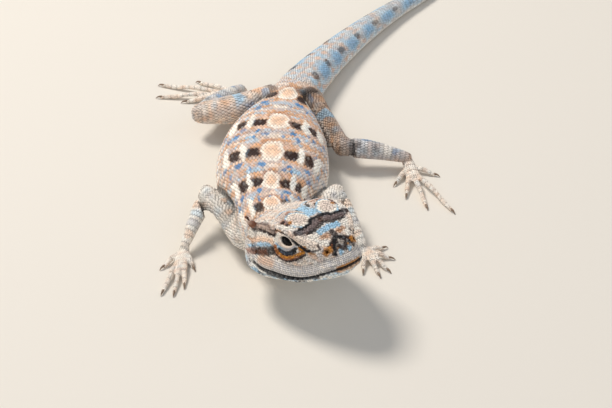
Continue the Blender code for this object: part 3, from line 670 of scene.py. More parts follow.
limbMarks = {  # colour, share along the limb, angle round it, half length share, half angle, strength
    "thigh": [("umber", 0.05, 0, 0.055, 45, 0.75), ("ice", 0.50, -20, 0.065, 70, 0.8),
              ("apricot", 0.22, -30, 0.08, 30, 0.5),
              ("umber", 0.24, 35, 0.06, 20, 0.5), ("umber", 0.33, -52, 0.05, 15, 0.5),
              ("blue", 0.40, 55, 0.05, 18, 0.5),
              ("apricot", 0.68, 15, 0.05, 16, 0.4), ("blue", 0.16, 10, 0.05, 18, 0.5),
              ("lilac", 0.80, -30, 0.06, 30, 0.6)],
    "shin": [("ice", 0.5, 0, 0.5, 150, 0.35), ("umber", 0.22, 20, 0.045, 24, 0.5), ("blue", 0.36, -35, 0.06, 30, 0.5),
             ("umber", 0.50, 38, 0.045, 24, 0.5), ("cream", 0.68, 0, 0.08, 80, 0.6), ("blue", 0.80, 30, 0.05, 30, 0.4)],
    "upper_arm": [("cream", 0.72, 0, 0.2, 90, 0.5), ("apricot", 0.35, 25, 0.07, 22, 0.55),
                  ("ice", 0.5, -25, 0.09, 26, 0.5), ("apricot", 0.62, -10, 0.05, 18, 0.5),
                  ("lilac", 0.8, 35, 0.05, 22, 0.5), ("apricot", 0.22, -30, 0.05, 18, 0.5)],
    "forearm": [("cream", 0.5, 0, 0.5, 120, 0.5), ("apricot", 0.3, 0, 0.08, 60, 0.35),
                ("lilac", 0.62, 0, 0.06, 90, 0.5), ("ice", 0.45, 10, 0.06, 60, 0.4),
                ("apricot", 0.82, 20, 0.06, 50, 0.35)],
}
headMarks = [  # colour, half width, softness, strength, then points as forward, right and up, the same on both sides
    ("cream", 1.5, 0.8, 0.9, [(0.8, 6.8, 5.6), (3.6, 7.1, 6.3), (6.8, 7.4, 6.8), (9.0, 7.7, 7.0)]),
    ("apricot", 0.8, 0.6, 0.55, [(1.5, 8.2, 4.9), (2.7, 8.3, 5.0), (5.1, 7.6, 5.4), (8.7, 7.8, 6.3)]),
    ("ice", 0.5, 0.3, 0.9, [(1.2, 8.4, 3.4), (2.5, 8.2, 3.7), (5.3, 7.9, 4.6), (8.0, 7.8, 5.4)]),
    ("black", 0.90, 0.25, 0.92, [(3.8, 8.2, 2.7), (6.3, 8.4, 3.5), (8.2, 8.1, 4.2), (9.4, 8.0, 4.9)]),
    ("rust", 0.55, 0.3, 0.45, [(4.4, 8.3, 2.8), (6.8, 8.3, 3.6)]),
    ("rust", 0.7, 0.4, 0.7, [(1.6, 8.7, 2.3), (3.0, 8.5, 2.5)]),
    ("rust", 0.85, 0.3, 0.48, [(1.1, 6.6, 6.9), (3.5, 6.6, 7.6), (6.8, 7.1, 8.3), (9.2, 7.5, 8.5), (10.2, 7.6, 8.5)]),
    ("umber", 0.40, 0.25, 0.6, [(1.1, 5.9, 7.1), (5.6, 6.5, 8.6), (8.1, 7.3, 8.9), (9.6, 7.6, 8.9)]),
    ("umber", 0.36, 0.2, 1.0, [(1.0, 6.9, 6.1), (3.5, 6.8, 6.8), (6.5, 7.2, 7.4), (9.3, 7.6, 7.8), (10.2, 7.7, 8.4)]),
    ("rust", 0.9, 0.3, 0.9, [(0.7, 6.6, 7.2), (-0.8, 6.9, 8.8)]),
    ("umber", 0.8, 0.3, 0.6, [(0.7, 6.6, 7.2), (-0.8, 6.9, 8.8)]),
    ("ice", 0.95, 0.4, 0.95, [(8.2, 0.0, 10.4), (10.6, 0.0, 10.7), (11.8, 0.5, 10.6)]),
    ("ice", 0.36, 0.2, 0.7, [(7.1, 4.8, 10.0), (6.3, 3.0, 9.9), (7.0, 1.3, 10.2), (9.3, 0.8, 10.6)]),
    ("black", 0.22, 0.12, 1.0, [(9.7, 1.4, 10.6), (7.9, 1.8, 10.4), (6.9, 3.0, 10.2), (7.5, 4.6, 10.2)]),
    ("black", 0.40, 0.15, 1.0, [(9.1, 1.4, 10.5)]),
    ("apricot", 2.1, 0.8, 0.35, [(9.9, 4.4, 10.6)]),
    ("lilac", 1.6, 0.8, 0.4, [(9.4, 4.8, 10.6)]),
    ("rust", 0.40, 0.25, 0.75, [(9.3, 4.0, 10.9), (8.7, 3.0, 10.7)]),
    ("umber", 0.26, 0.12, 0.9, [(10.2, 2.3, 11.0), (10.4, 3.5, 11.1), (11.3, 4.9, 10.8)]),
    ("umber", 2.42, 0.12, 0.5, [(12.0, 3.9, 10.7), (12.7, 3.4, 10.7)]),
    ("ice", 2.30, 0.12, 0.85, [(12.0, 3.9, 10.7), (12.7, 3.4, 10.7)]),
    ("cream", 1.95, 0.15, 1.0, [(12.0, 3.9, 10.7), (12.7, 3.4, 10.7)]),
    ("apricot", 1.45, 0.4, 0.36, [(12.0, 3.9, 10.7), (12.6, 3.5, 10.7)]),
    ("lilac", 1.30, 0.4, 0.34, [(12.0, 3.9, 10.7), (12.6, 3.5, 10.7)]),
    ("cream", 0.5, 0.3, 0.8, [(13.4, 6.1, 10.0), (10.8, 6.8, 10.1)]),
    ("rust", 0.62, 0.2, 0.75, [(10.4, 6.0, 10.3), (12.0, 5.7, 10.4)]),
    ("umber", 0.50, 0.15, 0.97, [(10.6, 6.1, 10.3)]),
    ("umber", 0.40, 0.15, 0.97, [(11.9, 6.0, 10.3)]),
    ("amber", 0.42, 0.2, 0.9, [(12.0, 5.3, 10.6)]),
    ("umber", 1.25, 0.15, 0.97, [(14.4, 0.0, 10.3), (14.7, 1.6, 10.2)]),
    ("umber", 1.00, 0.15, 0.97, [(14.8, 1.4, 10.2), (15.4, 2.8, 9.9), (15.5, 3.8, 9.8)]),
    ("umber", 0.75, 0.15, 0.97, [(15.4, 3.6, 9.8), (15.2, 5.0, 9.6), (14.8, 6.1, 9.5)]),
    ("rust", 0.55, 0.4, 0.26, [(14.8, 0.6, 10.2), (15.2, 2.4, 10.0), (15.4, 4.6, 9.7)]),
    ("lilac", 0.6, 0.4, 0.24, [(14.8, 1.0, 10.2), (15.4, 3.4, 9.9), (15.0, 5.6, 9.6)]),
    ("black", 0.34, 0.12, 1.0, [(13.4, 0.0, 10.4), (13.7, 1.5, 10.4), (14.6, 2.7, 10.1), (14.8, 3.8, 10.0),
                                (14.6, 5.4, 9.8)]),
    ("black", 0.24, 0.12, 0.9, [(15.6, 0.0, 9.7), (16.2, 2.0, 9.5), (16.4, 3.2, 9.2), (16.1, 4.6, 9.1)]),
    ("ice", 0.62, 0.15, 1.0, [(16.9, 0.0, 9.1), (16.9, 1.3, 9.1), (17.0, 2.3, 8.9)]),
    ("cream", 0.95, 0.4, 0.95, [(17.4, 3.6, 8.4), (17.2, 4.6, 8.4), (18.5, 3.0, 7.9)]),
    ("cream", 0.9, 0.4, 0.75, [(15.8, 6.7, 8.4), (17.3, 5.6, 7.6), (18.3, 4.6, 7.2)]),
    ("apricot", 0.7, 0.5, 0.24, [(15.6, 6.7, 8.6), (17.3, 5.5, 8.1), (18.3, 4.4, 7.3)]),
    ("amber", 0.40, 0.2, 0.85, [(16.6, 5.8, 7.1), (15.6, 6.7, 6.3)]),
    ("amber", 0.50, 0.2, 0.6, [(18.1, 2.6, 8.3), (18.2, 1.2, 8.3)]),
    ("rust", 0.55, 0.2, 0.3, [(18.0, 3.0, 8.2), (18.4, 1.0, 8.2)]),
    ("umber", 0.18, 0.1, 0.7, [(18.3, 2.0, 8.2)]),
    ("umber", 0.24, 0.12, 0.85, [(17.1, 5.6, 6.3), (18.1, 5.0, 6.2), (18.9, 4.2, 6.7), (18.4, 4.1, 7.4)]),
    ("amber", 0.22, 0.12, 0.7, [(17.4, 5.6, 5.8), (18.4, 4.9, 5.7)]),
    ("umber", 0.62, 0.15, 0.92, [(18.0, 0.0, 8.4), (19.2, 0.2, 7.7), (19.8, 1.3, 7.2), (20.1, 2.3, 7.0)]),
    ("umber", 0.62, 0.2, 0.88, [(19.8, 1.4, 7.2), (20.6, 1.9, 6.4), (21.0, 2.3, 5.8)]),
    ("rust", 0.30, 0.2, 0.4, [(20.0, 1.9, 7.0), (20.7, 2.1, 6.2)]),
    ("black", 0.32, 0.12, 1.0, [(19.0, 0.0, 7.8), (19.6, 1.0, 7.4), (20.4, 1.8, 6.7), (21.2, 2.3, 5.7)]),
    ("umber", 0.80, 0.30, 0.6, [(20.4, 0.5, 6.9), (21.2, 0.9, 6.2)]),
    ("umber", 0.42, 0.15, 0.9, [(20.7, 0.8, 6.6), (21.5, 0.3, 6.0)]),
    ("amber", 0.30, 0.15, 0.6, [(20.9, 1.2, 6.3)]),
    ("cream", 0.45, 0.15, 1.0, [(19.5, 2.7, 7.4)]),
    ("ice", 0.5, 0.2, 1.0, [(21.6, 1.1, 5.7)]),
    ("amber", 0.75, 0.25, 0.95, [(19.4, 2.6, 5.6), (19.9, 3.4, 5.9), (20.3, 3.0, 6.4)]),
    ("umber", 0.42, 0.15, 0.95, [(20.1, 3.4, 6.2)]),
    ("apricot", 0.9, 0.6, 0.5, [(6.2, 9.5, 2.3), (9.0, 9.2, 2.3)]),
    ("ice", 0.7, 0.3, 0.7, [(2.0, 9.7, -1.2), (5.3, 10.1, -0.7)]),
    ("lilac", 0.80, 0.4, 0.5, [(1.6, 9.3, 1.2), (2.6, 9.6, 0.2)]),
    ("umber", 0.20, 0.12, 0.7, [(2.2, 9.4, 1.0), (3.0, 9.6, 0.5)]),
    ("umber", 0.20, 0.12, 0.7, [(1.8, 9.5, 0.0), (2.4, 9.7, -0.4)]),
    ("black", 0.34, 0.12, 0.95, [(5.6, 9.9, -1.3), (8.4, 9.5, -1.1), (11.0, 8.9, -1.0), (14.0, 8.1, -0.8),
                                 (17.4, 6.5, -0.3)]),
    ("black", 0.28, 0.12, 0.85, [(8.2, 9.6, 0.0), (10.6, 9.1, -0.2), (13.4, 8.3, 0.0), (16.4, 7.2, 0.5)]),
    ("umber", 0.30, 0.15, 0.8, [(6.0, 9.8, -0.4), (6.7, 9.8, -0.8)]),
    ("umber", 0.28, 0.15, 0.8, [(18.6, 5.8, 0.6), (19.2, 5.5, 1.2)]),
    ("amber", 0.80, 0.3, 0.92, [(22.2, 2.4, 2.7), (22.6, 0.8, 2.9), (22.6, 0.0, 2.7)]),
    ("cream", 0.40, 0.3, 0.30, [(22.2, 2.2, 2.3), (22.6, 0.0, 2.3)]),
]
eyeMarks = [  # the same for the lids, with points along and across the slit
    ("cream", 0.62, 0.2, 0.9, [(-3.3, -1.2), (-2.75, -0.4), (-2.35, 0.45)]),
    ("ice", 0.36, 0.15, 0.85, [(-3.0, -1.9), (-2.1, -2.15), (-1.2, -2.1), (-0.3, -1.85)]),
    ("lilac", 0.34, 0.15, 0.9, [(-0.8, -1.95), (0.3, -1.6), (1.1, -1.05), (1.9, -0.3)]),
    ("black", 0.50, 0.12, 0.98, [(-1.9, -2.75), (-1.0, -2.85), (-0.3, -2.7), (0.8, -2.25), (1.6, -1.5), (2.1, -0.85)]),
    ("blue", 0.30, 0.2, 0.10, [(-1.5, -2.8), (-0.3, -2.7), (1.1, -2.0)]),
    ("lilac", 0.26, 0.2, 0.08, [(-1.5, -2.8), (-0.3, -2.7), (1.1, -2.0)]),
    ("umber", 0.30, 0.1, 0.97, [(-3.6, -3.3), (-2.7, -3.95), (-1.5, -4.2), (-0.2, -4.15), (1.0, -3.8), (2.2, -3.0),
                                (3.2, -2.0),
                                (3.9, -1.2)]),
    ("umber", 0.14, 0.06, 0.8, [(-2.4, -2.7), (-1.6, -3.2), (-0.5, -3.25), (0.8, -2.85), (1.9, -2.1), (2.7, -1.3)]),
    ("amber", 0.33, 0.1, 1.0, [(-3.1, -2.4), (-2.8, -2.95), (-2.1, -3.45), (-0.8, -3.6), (0.5, -3.3), (1.7, -2.6),
                               (2.6, -1.8),
                               (3.6, -0.9)]),
    ("rust", 0.36, 0.2, 0.75, [(-3.2, -2.3), (-2.9, -2.9), (-2.2, -3.4)]),
    ("rust", 0.18, 0.1, 0.7, [(-2.2, -3.75), (-0.8, -3.9), (0.6, -3.6), (1.8, -2.9), (2.8, -2.0)]),
    ("cream", 0.30, 0.1, 1.0, [(2.38, -0.93)]),
    ("amber", 0.30, 0.1, 1.0, [(2.7, -0.17), (3.46, -0.56)]),
    ("umber", 0.20, 0.1, 0.6, [(3.2, -0.75)]),
    ("cream", 0.24, 0.08, 1.0, [(-2.3, -0.2), (-2.05, -0.75), (-1.3, -1.22), (0.0, -1.18), (0.95, -0.6), (1.2, -0.1)]),
    ("amber", 0.22, 0.08, 0.30, [(-2.3, -0.2), (-2.05, -0.75), (-1.3, -1.22), (0.0, -1.18), (0.95, -0.6), (1.2, -0.1)]),
    ("cream", 0.26, 0.08, 1.0, [(-2.7, 0.50), (-2.0, 0.76), (-1.2, 0.93), (-0.2, 0.93), (0.5, 0.75), (1.0, 0.45)]),
    ("apricot", 0.26, 0.08, 0.2, [(-2.0, 0.76), (-0.2, 0.93), (1.0, 0.45)]),
    ("amber", 0.30, 0.1, 0.6, [(-3.5, 1.0), (-2.6, 1.25), (-1.8, 1.32)]),
    ("umber", 0.13, 0.06, 1.0, [(-3.7, 1.0), (-2.6, 1.16), (-1.9, 1.24), (-0.4, 1.22), (1.0, 0.87)]),
    # the black line over the front of the upper lid is painted shade in the groove under the brow
    ("black", 0.25, 0.08, 1.0, [(0.87, 0.82), (2.0, 0.34), (2.58, 0.12), (3.26, -0.10), (3.83, -0.30), (4.41, -0.46)]),
]


def step(value, edge, soft):
    t = np.clip((edge + soft - value) / (2 * soft), 0.0, 1.0)
    return t * t * (3 - 2 * t)


def ripple(points, size, seed):
    # a soft irregular wave through space, between -1 and 1
    rng = np.random.default_rng(seed)
    total = np.zeros(len(points))
    for _ in range(5):
        way = unit(rng.normal(size=3)) * 2 * math.pi / (size * rng.uniform(0.7, 1.4))
        total += np.sin(points @ way + rng.uniform(0, 6.28))
    return total / 5 ** 0.5 / 1.3


def cover(inks, name, amount):
    amount = np.clip(amount, 0.0, 1.0)[:, None]
    inks *= 1.0 - amount
    inks[:, inkNames.index(name)] += amount[:, 0]


def blob(s, phi, s0, phi0, halfS, halfPhi, soft=0.28, power=2.4):
    far = (np.abs((s - s0) / halfS) ** power + np.abs((phi - phi0) / halfPhi) ** power) ** (1 / power)
    return step(far, 1.0, soft)


def trunkInks(s, phi, points):
    inks = np.zeros((len(points), len(inkNames)))
    s = s + 0.32 * ripple(points, 3.4, 1) + 0.12 * ripple(points, 1.3, 15)
    phi = phi + (1.8 * ripple(points, 3.0, 2) + 0.7 * ripple(points, 1.4, 16)) * np.clip((80.0 - s) / 20.0, 0.3, 1.0)
    cloud = 0.62 * ripple(points, 3.4, 3) + 0.5 * ripple(points, 1.6, 17)
    cover(inks, "lilac", 0.85 * step(-cloud, -0.12, 0.35))
    cover(inks, "cream", 0.6 * step(-ripple(points, 1.9, 4), -0.42, 0.3))
    cover(inks, "ice", 0.45 * step(-ripple(points, 2.3, 18), -0.62, 0.25))
    cover(inks, "ice", 0.7 * step(-ripple(points, 1.25, 31), -0.95, 0.15))
    cover(inks, "rust", 0.32 * step(-ripple(points, 1.35, 32), -0.95, 0.15))
    cover(inks, "cream", 0.55 * step(-np.abs(phi), -64.0, 9.0) * step(-ripple(points, 2.2, 19), 0.2, 0.5))
    cover(inks, "cream", 0.85 * step(-np.abs(phi), -86.0, 12.0))
    for k, (a, b) in enumerate(zip(trunkRows, trunkRows[1:])):
        middle, reach, tilt = 0.5 * (a[0] + b[0]), 0.5 * (b[0] - a[0]), 0.5 * (a[1] + b[1])
        bent = s + 0.0009 * (phi - tilt) ** 2
        cover(inks, "lilac", 0.7 * blob(bent, phi, middle + 0.25 * reach, tilt, 0.13 * reach, 42.0, 0.5))
        cover(inks, "ice", 0.4 * blob(bent, phi, middle + 0.25 * reach, tilt, 0.09 * reach, 22.0, 0.5))
        cover(inks, "cream", 0.7 * blob(s, phi, middle - 0.05 * reach, tilt, 0.12 * reach, 11.0, 0.4))
    for s0, tilt, half, wide, k, *slips in trunkRows:
        turn = wide / rowWidth
        cover(inks, "apricot", 0.50 * blob(s, phi, s0, tilt, half * 1.3, 50.0 * turn, 0.5))
        rng = np.random.default_rng(int(s0 * 10))
        for name, strength, ds, dphi, halfS, halfPhi in rowSpots:
            if name == "umber" and dphi > 40 and s0 < napeRow:
                continue  # the nape's row has no outer blotches
            for side in (-1.0, 1.0):
                loose = 0.0 if name in ("umber", "cream") else 1.0
                ds2, dphi2 = ds + loose * rng.normal(0.0, 0.45), dphi + loose * rng.normal(0.0, 2.6)
                size = 1.0 + loose * rng.uniform(-0.42, 0.10)
                at, angle = s0 + ds2 * k + slips[side > 0], tilt + side * dphi2 * turn
                cover(inks, name, strength * blob(s, phi, at, angle, halfS * k * size, halfPhi * turn * size, 0.28,
                                                  3.2 if name == "umber" else 2.3))
        cover(inks, "rust", 0.45 * blob(s, phi, s0 + 0.4 * k, tilt, half * 1.17, wide * 1.12, 0.12))
        cover(inks, "cream", blob(s, phi, s0, tilt, half * 1.02, wide, 0.12, 2.2))
        cover(inks, "apricot", 0.62 * blob(s, phi, s0 + 0.3, tilt, half * 0.66, wide * 0.66, 0.5))
    tail = step(-s, -57.5, 3.0)
    cover(inks, "cream", 0.8 * tail)
    cover(inks, "lilac", tail * (0.35 + 0.25 * ripple(points, 2.6, 20)))
    cover(inks, "umber", tail * (0.14 + 0.10 * ripple(points, 1.8, 34)))
    cover(inks, "ice", tail * (0.36 + 0.28 * ripple(points, 4.5, 21)))
    cover(inks, "apricot", 0.5 * tail * step(-ripple(points, 2.0, 22), -0.2, 0.4) * step(s, 95.0, 25.0))
    cover(inks, "cream", 0.7 * tail * step(-np.abs(phi), -104.0, 20.0))
    at, gap, fade = tailSpots["first"], tailSpots["step"], 1.0
    while at < trunk["length"]:
        half, wide = tailSpots["half"]
        for side in (-1.0, 1.0):
            patch = (at + gap * tailSpots["blueShare"], side * 50.0)
            cover(inks, "ice", 0.8 * fade * blob(s, phi, *patch, gap * 0.32, 28.0, 0.55))
            cover(inks, "blue", 0.34 * fade * blob(s, phi, *patch, gap * 0.22, 19.0, 0.6))
            spot = (at + 0.4 * side, side * tailSpots["angle"])
            cover(inks, "umber", 0.72 * fade * blob(s, phi, *spot, half, wide, 0.4))
        at, gap, fade = at + gap, gap + tailSpots["growth"], max(0.45, fade - 0.03)
    return inks


def limbInks(name, share, phi, points):
    inks = np.zeros((len(points), len(inkNames)))
    isLeg = name.startswith(("thigh", "shin"))
    # the legs get umber and apricot mottling and less cream; the left leg gets more of it, and that extra darkness is
    # painted shade
    legMottleAndShade = 1.0 if name.endswith("left") else 0.65
    cover(inks, "lilac", 0.30 + 0.4 * ripple(points, 2.6, 5))
    cover(inks, "cream", (0.78 - 0.28 * legMottleAndShade * isLeg) + 0.25 * ripple(points, 2.0, 6))
    cover(inks, "ice", 0.06 + 0.22 * ripple(points, 3.1, 23))
    if isLeg:
        cover(inks, "umber", legMottleAndShade * (0.19 + 0.10 * name.startswith("shin") + 0.20 * ripple(points, 1.9, 25)))
        cover(inks, "apricot", legMottleAndShade * (0.27 + 0.22 * ripple(points, 2.3, 28)))
    share = share + 0.025 * ripple(points, 2.5, 7)
    phi = phi + 9.0 * ripple(points, 2.5, 8)
    marks = limbMarks.get(name.rsplit("_", 1)[0], [])
    side = -1.0 if name.endswith("left") else 1.0
    for ink, share0, phi0, halfShare, halfPhi, strength in marks:
        cover(inks, ink, strength * blob(share, phi * side, share0, phi0, halfShare, halfPhi, 0.4))
    if name.startswith(("hand", "foot")):
        cover(inks, "cream", np.full(len(points), 0.55))
        cover(inks, "apricot", 0.12 + 0.2 * ripple(points, 1.8, 24))
    return inks


def headInks(points):
    inks = np.zeros((len(points), len(inkNames)))
    local = headLocal(points)
    local[:, 1] = np.abs(local[:, 1])
    mouth = along(head["mouth"], local[:, 0])[:, 0]
    rise = local[:, 2] - mouth
    cover(inks, "cream", 0.74 + 0.22 * ripple(points, 1.6, 9))
    cover(inks, "lilac", 0.26 + 0.35 * ripple(points, 1.3, 11))
    cover(inks, "apricot", 0.03 + 0.26 * ripple(points, 1.9, 10))
    cover(inks, "lilac", 0.12 * step(-local[:, 2], -9.2, 0.6))
    cover(inks, "cream", 0.7 * step(rise, 2.3, 0.5))
    cover(inks, "lilac", (0.42 + 0.3 * ripple(points, 0.8, 26)) * step(rise, 2.3, 0.5))
    # thin dark lines between the rows of plates over the lip
    rowHeight, firstLine = 0.363, 0.905
    between = rowHeight * np.abs(((rise - firstLine) / rowHeight + 0.5) % 1.0 - 0.5)
    lined = step(between, 0.07, 0.04) * step(np.abs(rise - 1.4), 1.05, 0.1)
    cover(inks, "umber", (0.26 + 0.2 * ripple(points, 1.7, 33)) * lined)
    cover(inks, "cream", 0.9 * step(rise, 0.0, 0.2))
    cover(inks, "ice", (0.3 + 0.4 * ripple(points, 1.5, 27)) * step(rise, -0.2, 0.2))
    moved = local + 0.1 * np.column_stack([ripple(points, 0.9, k) for k in (12, 13, 14)])
    for ink, half, soft, strength, line in headMarks:
        cover(inks, ink, strength * step(lineDistance(moved, line), half, soft))
    slit = eyeLocal(points)
    facing = step(-slit[:, 2], -0.2, 0.3) * step(np.linalg.norm(slit, axis=1), 6.0, 0.3)
    slit[:, 2] = 0.0
    for ink, half, soft, strength, line in eyeMarks:
        far = lineDistance(slit, [(x, y, 0.0) for x, y in line])
        cover(inks, ink, strength * facing * step(far, half, soft))
    cover(inks, "black", 0.95 * step(np.abs(rise + 0.22), 0.29, 0.09) * step(-local[:, 0], -3.6, 1.0))
    return inks


def inksAt(points, stems):
    # every stem's own markings, mixed where two of them meet
    points = np.asarray(points, float)
    total = np.zeros((len(points), len(inkNames)))
    weights = np.zeros(len(points))
    near = [locate(stem, points) for stem in stems]
    least = np.min([found[2] for found in near], axis=0)
    for stem, (at, phi, far) in zip(stems, near):
        weight = np.exp(-9.0 * (far - least))
        if stem["name"] == "head":
            local = headLocal(points)
            weight *= 1.0 - 0.97 * step(local[:, 0], -0.2, 1.0) * step(np.abs(local[:, 1]), 5.4, 0.6)
        use = weight > 0.02
        if not use.any():
            continue
        name = stem["name"]
        if name == "trunk":
            inks = trunkInks(at[use], phi[use], points[use])
        elif name == "head":
            inks = headInks(points[use])
        else:
            inks = limbInks(name, at[use] / stem["at"][-1], phi[use], points[use])
        total[use] += inks * weight[use, None]
        weights[use] += weight[use]
    return total / weights[:, None]


def writeInks(mesh, inks, tone):
    # three colour attributes hold the amounts, and a fourth each scale's tone, its height, which paints a highlight on
    # the keel and shade at the root, and its share of a fold's painted shade
    packs = [inks[:, 0:3], inks[:, 3:6], inks[:, 6:9], tone]
    for name, values in zip(("inksA", "inksB", "inksC", "tone"), packs):
        attribute = mesh.attributes.new(name, "FLOAT_COLOR", "POINT")
        attribute.data.foreach_set("color", np.column_stack((values, np.ones(len(values)))).astype(np.float32).ravel())


# the inks lie over the ground colour, and a real scale's grain is finer: it is drawn as coarse as it needs to show
skinFinish = {
    "inks": {"umber": "#281210", "black": "#0E0E14", "blue": "#3F88C0", "ice": "#ABD3EC", "cream": "#FFF8EC",
             "apricot": "#EFB27E", "rust": "#9C5A34", "amber": "#C98530", "lilac": "#C9C7CB"},
    "ground": "#D8AA86", "roughness": 0.60, "specular": 0.30, "grainMm": 0.11, "speckMm": 0.35,
}


def scalySkin():
    # dry keratin scales over skin: no wet gloss, a faint sheen and a painted highlight on each keel, colour broken up
    # from scale to scale
    made, tree, shader = newMaterial("dry keratin scales")
    coords = addNode(tree, "TexCoord")
    packs = []
    for name in ("inksA", "inksB", "inksC", "tone"):
        source = addNode(tree, "Attribute", {"attribute_name": name})
        packs.append(addNode(tree, "SeparateXYZ", links={"Vector": source.outputs["Vector"]}).outputs)
    amounts = [socket for pack in packs[:3] for socket in pack]
    tone, keelLightAndRootShade, paintedFoldShade = packs[3]
    total = amounts[0]
    for socket in amounts[1:]:
        total = addNode(tree, "Math", {"operation": "ADD"}, links={0: total, 1: socket}).outputs[0]
    rest = addNode(tree, "Math", {"operation": "SUBTRACT", "use_clamp": True}, {0: 1.0}, {1: total}).outputs[0]
    ground = linear(skinFinish["ground"])[:3]
    colour = addNode(tree, "VectorMath", {"operation": "SCALE"}, {0: ground}, {"Scale": rest}).outputs[0]
    for name, socket in zip(inkNames, amounts):
        ink = linear(skinFinish["inks"][name])[:3]
        part = addNode(tree, "VectorMath", {"operation": "SCALE"}, {0: ink}, {"Scale": socket}).outputs[0]
        colour = addNode(tree, "VectorMath", {"operation": "ADD"}, links={0: colour, 1: part}).outputs[0]
    # each scale is a little lighter or darker at random; its keel is painted lighter as a highlight, its root and the
    # bare skin between scales are painted darker as shade, and the folds are painted darker as shade
    speck = addNode(tree, "TexNoise", values={"Scale": 1000.0 / skinFinish["speckMm"], "Detail": 2.0},
                    links={"Vector": coords.outputs["Object"]}).outputs[0]
    shade = None
    for source, *span in ((tone, 0.0, 1.0, 0.88, 1.12), (keelLightAndRootShade, 0.0, 1.0, 0.62, 1.10), (speck, 0.3, 0.7, 0.88, 1.10),
                          (paintedFoldShade, 0.0, 1.0, 1.0, 0.12)):
        factor = addNode(tree, "MapRange", values=dict(enumerate(span, 1)), links={0: source}).outputs[0]
        if shade is not None:
            factor = addNode(tree, "Math", {"operation": "MULTIPLY"}, links={0: shade, 1: factor}).outputs[0]
        shade = factor
    colour = addNode(tree, "VectorMath", {"operation": "SCALE"}, links={0: colour, "Scale": shade}).outputs[0]
    tree.links.new(colour, shader.inputs["Base Color"])
    grain = addNode(tree, "TexNoise", values={"Scale": 1000.0 / skinFinish["grainMm"], "Detail": 3.0},
                    links={"Vector": coords.outputs["Object"]}).outputs[0]
    bump = addNode(tree, "Bump", values={"Strength": 0.35, "Distance": 0.00004}, links={"Height": grain})
    tree.links.new(bump.outputs[0], shader.inputs["Normal"])
    setInputs(shader, {"Roughness": skinFinish["roughness"], "Specular IOR Level": skinFinish["specular"]})
    return made


# sizes of the scales in millimetres, and how far their tips are lifted in degrees
bodyScales = {
    "spacing": 0.78, "tailSpacing": 0.86, "rowShare": 0.87, "tailRowShare": 0.98, "rise": 0.19, "overlap": 1.45,
    "tilt": 9.0, "torso": (0.2, 57.0), "tail": (57.3, 170.6), "fill": 0.62,
}
limbScales = {"spacing": 0.70, "rowShare": 0.86, "smallest": 0.36, "fullRadius": 3.2, "tilt": 5.0, "fill": 0.5}
plateScales = {"rise": 0.23, "crown": 0.45, "dome": 0.42, "snout": 0.47, "cheek": 0.38, "throat": 0.47, "lids": 0.31}
lipRows = [  # rise over the mouth, length of the plates along the lip and their height
    (0.32, 0.46, 0.40), (0.72, 0.40, 0.37), (1.09, 0.38, 0.36), (1.45, 0.38, 0.36), (1.81, 0.38, 0.36),
    (2.17, 0.38, 0.36),
    (-0.36, 0.52, 0.46), (-0.83, 0.46, 0.42), (-1.26, 0.44, 0.42),
]
headRows = [  # length of the plates along the row and their width, then points as forward, right and up
    (0.72, 0.46, [(8.0, 6.8, 9.3), (10.4, 7.1, 10.0), (12.6, 7.0, 9.9), (14.2, 6.6, 9.4), (15.6, 6.2, 8.7),
                  (17.8, 4.9, 7.3)]),
    (0.62, 0.44, [(8.4, 6.2, 10.0), (10.4, 6.6, 10.4), (12.6, 6.5, 10.3), (14.2, 6.1, 9.8), (15.6, 5.6, 9.2),
                  (17.4, 4.5, 8.1)]),
    (0.44, 0.42, [(9.2, 8.0, 6.0), (10.0, 8.1, 4.8), (11.5, 8.2, 4.3), (12.9, 8.0, 4.0), (14.4, 7.4, 4.7),
                  (17.0, 6.0, 5.7)]),
    (0.60, 0.50, [(1.1, 6.5, 7.1), (3.5, 6.6, 7.7), (6.8, 7.0, 8.4), (9.4, 7.3, 8.8)]),
    (0.36, 0.32, [(19.4, 3.9, 5.4), (20.3, 3.5, 5.3), (20.8, 2.9, 5.9), (20.3, 2.8, 6.6), (19.3, 3.5, 6.6),
                  (19.1, 4.0, 5.9)]),
]
# distance below the opening, and length of the plates
lidRows = [(0.27, 0.22), (0.51, 0.25), (0.78, 0.28), (1.08, 0.30), (1.40, 0.32)]
spinyScales = [  # root of each pointed spine round the ear and the nape, then its width, length and lift
    (2.6, 8.9, 4.9, 0.55, 0.9, 30), (1.7, 8.6, 4.4, 0.55, 1.0, 30), (1.2, 8.5, 3.4, 0.55, 0.9, 30),
    (1.3, 8.7, 2.3, 0.55, 0.9, 30), (1.9, 9.1, 1.5, 0.5, 0.8, 30), (0.5, 7.9, 4.8, 0.5, 0.8, 30),
    (0.2, 7.8, 3.7, 0.5, 0.8, 30), (-0.2, 7.8, 2.6, 0.5, 0.8, 30), (0.3, 8.3, 1.3, 0.5, 0.8, 30),
    (3.2, 8.8, 5.2, 0.5, 0.8, 30), (-0.6, 6.9, 5.2, 0.5, 0.8, 30), (1.2, 6.5, 7.0, 1.5, 2.9, 74),
]
rootKeys = ("at", "out", "lie", "width", "row")
mostTriangles = 190000  # in one piece


def spineScale():
    # one round pointed spine, 1 wide and 1 long from its root to its tip at +Y
    bm = bmesh.new()
    turn = Matrix.Rotation(math.radians(-90), 4, "X")
    bmesh.ops.create_uvsphere(bm, u_segments=10, v_segments=10, radius=1.0, matrix=turn)
    for vert in bm.verts:
        x, y, z = vert.co
        slim = 0.5 * (1.0 - 0.62 * max(y + 0.3, 0.0) ** 0.8)
        vert.co = (slim * x, 0.65 * y + 0.35, slim * z)
    return bm


